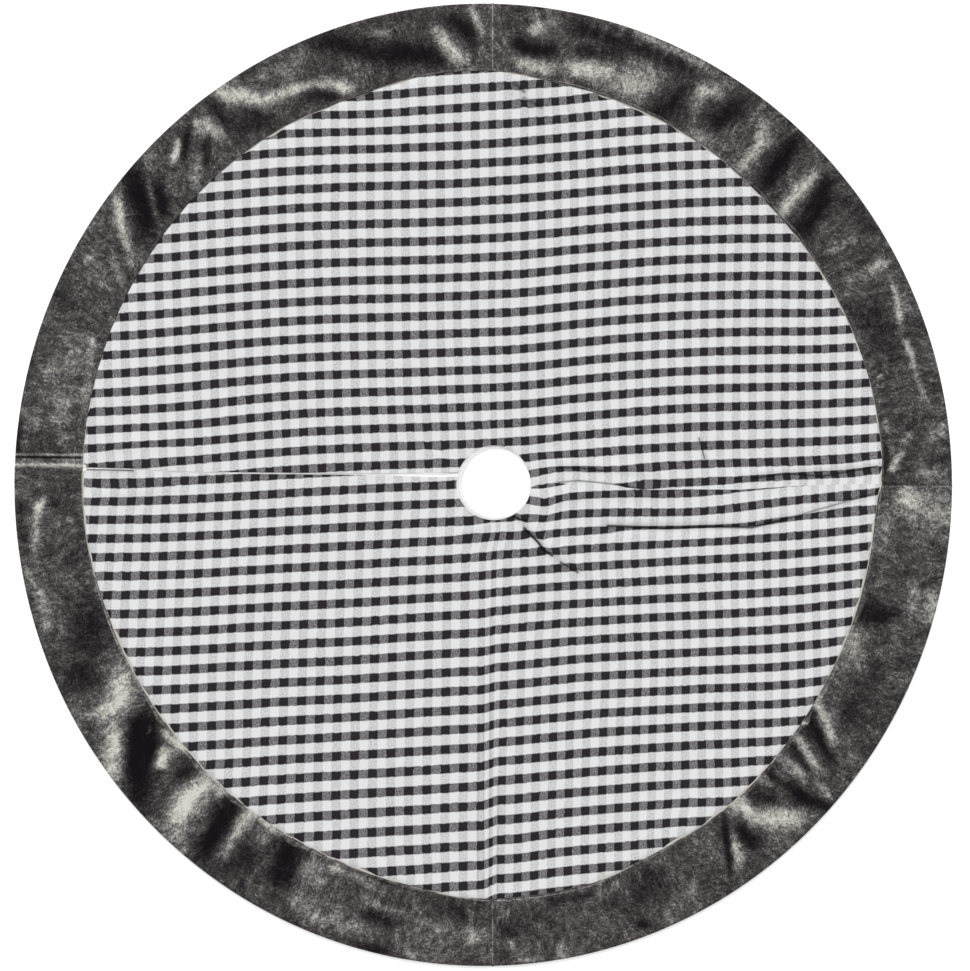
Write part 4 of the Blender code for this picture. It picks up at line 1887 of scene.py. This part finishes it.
@dataclass
class Tape:
    """White tape folded over the raw edges of the hole and the slit.

    Attributes:
        plan: the skirt's plan.
        thickness: of the tape.
        ring_shift: how far the facing's folded edge stands to the right of the hole.
        ring_columns: grid columns round a quarter of the hole.
        slit_columns: grid columns along the slit.
        lap: from the folded edge to the tape's raw edges.
        turned_in: the raw edge turned in at each side, which is not modelled.
        ripple: how uneven the tape's upper lap is.
    """

    plan: Plan
    thickness: float = 0.0008
    ring_shift: float = 0.0030
    ring_columns: int = 60
    slit_columns: int = 150
    lap: float = 0.0040
    turned_in: float = 0.0014
    ripple: float = 0.00012

    LIFTED = 0.001

    def section(self) -> tuple[Array, Array]:
        """Distance back from the folded edge and height: the lower lap, half a circle, the upper lap."""
        half = self.plan.gingham_top / 2 - 0.0004
        fold = np.linspace(3 * math.pi / 2, math.pi / 2, 13)
        lower, upper = np.linspace(self.lap, half, 6)[:-1], np.linspace(half, self.lap, 6)[1:]
        back = np.concatenate([lower, half + half * np.cos(fold), upper])
        height = np.concatenate([np.zeros(5), half + half * np.sin(fold), np.full(5, 2 * half)])
        return back, height

    def build_facing(self, quarter: Quarter, material: Material) -> Piece:
        """Makes a quarter of the ring round the hole, a little wider on the slit's side.

        Args:
            quarter: the quarter.
            material: the tape's material.

        Returns:
            The piece.
        """
        plan = self.plan
        back, height = self.section()
        round_ = np.linspace(0, 1, self.ring_columns)
        outer_x, outer_y = quarter.arc(plan.hole.inset(SEWN_GAP), round_)
        inner_oval = Oval((plan.hole.centre[0] + self.ring_shift, plan.hole.centre[1]), plan.facing_edge,
                          plan.facing_edge)
        inner_x, inner_y = quarter.arc(inner_oval, round_)
        share = (back / self.lap)[:, None]
        x = inner_x + (outer_x - inner_x) * share
        y = settle(plan, x, inner_y + (outer_y - inner_y) * share)
        angle = np.arctan2(y, x - plan.hole.centre[0])
        ripple = self.ripple * np.sin(angle * 40)
        outer = stack(x, y, height[:, None] + ripple * (height[:, None] > self.LIFTED))
        grain = np.stack([angle * plan.facing_edge, np.broadcast_to(back[:, None], x.shape)], -1)
        node = f"hole_facing_{quarter.name}"
        cloth = Cloth(outer, sunk(outer, self.thickness), grain)
        piece = finish_piece(cloth.build(f"{node}_tape", material), quarter, node, "tape")
        self.declare(piece, cloth, f"gingham_{quarter.name}_cloth")
        return piece

    def build_slit(self, quarter: Quarter, node: str, side: int, material: Material) -> Piece:
        """Makes the tape along one side of the slit.

        Args:
            quarter: the quarter that it finishes.
            node: the solid that it replaces.
            side: 1 on the slit's left, -1 on its right.
            material: the tape's material.

        Returns:
            The piece.
        """
        plan = self.plan
        back, height = self.section()
        gap = LINE_GAP / 2
        far = plan.slit.along(*plan.border_seam.point(np.array(plan.border_seam.crossing(plan.slit, 0.0))))
        reach = np.linspace(plan.hole.across, float(far) - SEWN_GAP, self.slit_columns)[::-side]
        offset = side * (gap + back)[:, None]
        cos, sin = math.cos(plan.slit.heading), math.sin(plan.slit.heading)
        x = plan.slit.origin[0] + reach * cos - offset * sin
        y = settle(plan, x, plan.slit.origin[1] + reach * sin + offset * cos)
        ripple = self.ripple * np.sin(reach * 210) * (height[:, None] > self.LIFTED)
        outer = stack(x, y, height[:, None] + ripple)
        grain = np.stack([np.broadcast_to(reach, x.shape), np.broadcast_to(back[:, None], x.shape)], -1)
        cloth = Cloth(outer, sunk(outer, self.thickness), grain)
        piece = finish_piece(cloth.build(f"{node}_strip", material), quarter, node, "tape", bends=False)
        self.declare(piece, cloth, f"gingham_{quarter.name}_cloth")
        return piece

    def declare(self, piece: Piece, cloth: Cloth, rests_on: str) -> None:
        """Takes a strip, its surface and the piece under it, and does nothing with them.

        Args:
            piece: the strip; not used.
            cloth: its surface; not used.
            rests_on: the piece under it; not used.
        """


# ---- Studio ----


@dataclass(frozen=True)
class Studio:
    """White ground, soft light and a long lens straight above.

    Attributes:
        view_width: how much of the ground the picture's longer side takes in.
        centre: the place under the camera.
        lens: focal length, in millimetres.
        sensor: the camera's width, in millimetres.
        sky: strength of the even light from all round.
        key: strength of the slanting light from beyond twelve o'clock.
        key_turn: the slanting light's lean from straight down, and its turn anticlockwise, in degrees.
        key_spread: how wide the slanting light is, in degrees.
        ground_half: half the floor's side.
        ground_drop: how far the floor lies under the skirt.
        ground_white: how much light the floor gives back.
        ground_glow: strength of the floor's own light, which keeps it white.
    """

    view_width: float = 1.2464
    centre: Point = (0.0023, -0.0009)
    lens: float = 100.0
    sensor: float = 36.0
    sky: float = 0.56
    key: float = 1.95
    key_turn: tuple[float, float] = (48.0, 8.0)
    key_spread: float = 24.0
    ground_half: float = 6.0
    ground_drop: float = 0.0006
    ground_white: float = 0.94
    ground_glow: float = 0.40

    def build(self, plan: Plan) -> None:
        """Makes the ground, the world, the slanting light and the camera.

        Args:
            plan: the skirt's plan.
        """
        self.ground()
        self.world()
        self.slanting_light()
        camera = bpy.data.cameras.new("camera")
        camera.lens, camera.sensor_width = self.lens, self.sensor
        camera.clip_end = 50.0
        holder = bpy.data.objects.new("camera", camera)
        distance = self.view_width * self.lens / self.sensor
        holder.location = (*self.centre, distance + plan.gingham_top)
        bpy.context.scene.collection.objects.link(holder)
        bpy.context.scene.camera = holder
        bpy.context.scene.view_settings.view_transform = "Standard"

    def ground(self) -> None:
        """A white floor that gives back nearly all its light."""
        mesh = bpy.data.meshes.new("ground")
        half = self.ground_half
        corners = [(-half, -half, 0), (half, -half, 0), (half, half, 0), (-half, half, 0)]
        mesh.from_pydata(corners, [], [(0, 1, 2, 3)])
        floor = bpy.data.objects.new("ground", mesh)
        floor.location.z = -self.ground_drop
        bpy.context.scene.collection.objects.link(floor)
        material, _, shader = new_material("white_ground")
        shader.inputs["Base Color"].default_value = (*[self.ground_white] * 3, 1)
        shader.inputs["Roughness"].default_value = 0.9
        shader.inputs["Emission Color"].default_value = (1, 1, 1, 1)
        shader.inputs["Emission Strength"].default_value = self.ground_glow
        mesh.materials.append(material)

    def world(self) -> None:
        """An even white sky."""
        world = bpy.data.worlds.new("sky")
        world.use_nodes = True
        background = world.node_tree.nodes["Background"]
        background.inputs["Color"].default_value = (1.0, 1.0, 1.0, 1)
        background.inputs["Strength"].default_value = self.sky
        bpy.context.scene.world = world

    def slanting_light(self) -> None:
        """A wide, even light from beyond twelve o'clock, a little to the left."""
        light = bpy.data.lights.new("window", "SUN")
        light.energy = self.key
        light.angle = math.radians(self.key_spread)
        holder = bpy.data.objects.new("window", light)
        holder.rotation_euler = (math.radians(-self.key_turn[0]), 0.0, math.radians(self.key_turn[1]))
        bpy.context.scene.collection.objects.link(holder)


# ---- The skirt ----


@dataclass
class TreeSkirt:
    """The whole skirt: four quarters of cloth, and the tape at the hole and the slit."""

    plan: Plan
    finishes: Finishes

    # How far from a pressed fold its bend ends, and where the seam's bend starts and ends.
    FOLD_BEND = 0.006
    SEAM_BEND = (0.008, 0.024)

    def quarters(self) -> tuple[Quarter, ...]:
        """The four quarters, with the lines and bends between them.

        Returns:
            Anticlockwise from the lower right.
        """
        plan = self.plan
        middle = plan.hole.centre[1]
        up = Line((plan.fold_x, middle), math.pi / 2)
        down = Line((plan.fold_x, middle), -math.pi / 2)
        seam = Line((plan.hole.centre[0], plan.seam_y), 0.0)
        fold_bend = ((plan.fold_x, 0.0), (plan.fold_x - self.FOLD_BEND, 0.0))
        seam_bend = tuple((0.0, plan.seam_y + reach) for reach in self.SEAM_BEND)
        return (
            Quarter("lower_right", Side.LOWER, down, seam),
            Quarter("upper_right", Side.UPPER, seam, up, "lower_right", seam_bend),
            Quarter("upper_left", Side.UPPER, up, plan.slit, "upper_right", fold_bend),
            Quarter("lower_left", Side.LOWER, plan.slit, down, "lower_right", fold_bend),
        )

    def build(self) -> None:
        """Builds every piece."""
        gingham = GinghamQuarter(self.plan, Relief(self.plan))
        inner = InnerQuarter(self.plan, gingham)
        velvet = VelvetQuarter(self.plan)
        tape = Tape(self.plan)
        quarters = self.quarters()
        for quarter in quarters:
            inner.build(quarter, self.finishes)
            gingham.build(quarter, self.finishes.gingham)
            velvet.build(quarter, self.finishes.velvet)
            tape.build_facing(quarter, self.finishes.tape)
        tape.build_slit(quarters[2], "slit_tape_upper", -1, self.finishes.tape)
        tape.build_slit(quarters[3], "slit_tape_lower", 1, self.finishes.tape)


def main() -> None:
    """Builds the studio and the skirt, and reports each piece."""
    logging.basicConfig(level=logging.INFO, format="%(name)s: %(message)s")
    plan = Plan.from_frame()
    LOG.info("outline %.3f by %.3f m, hole radius %.4f m", 2 * plan.outline.across, 2 * plan.outline.down,
             plan.hole.across)
    Studio().build(plan)
    TreeSkirt(plan, Finishes.make()).build()


if __name__ == "__main__":
    main()
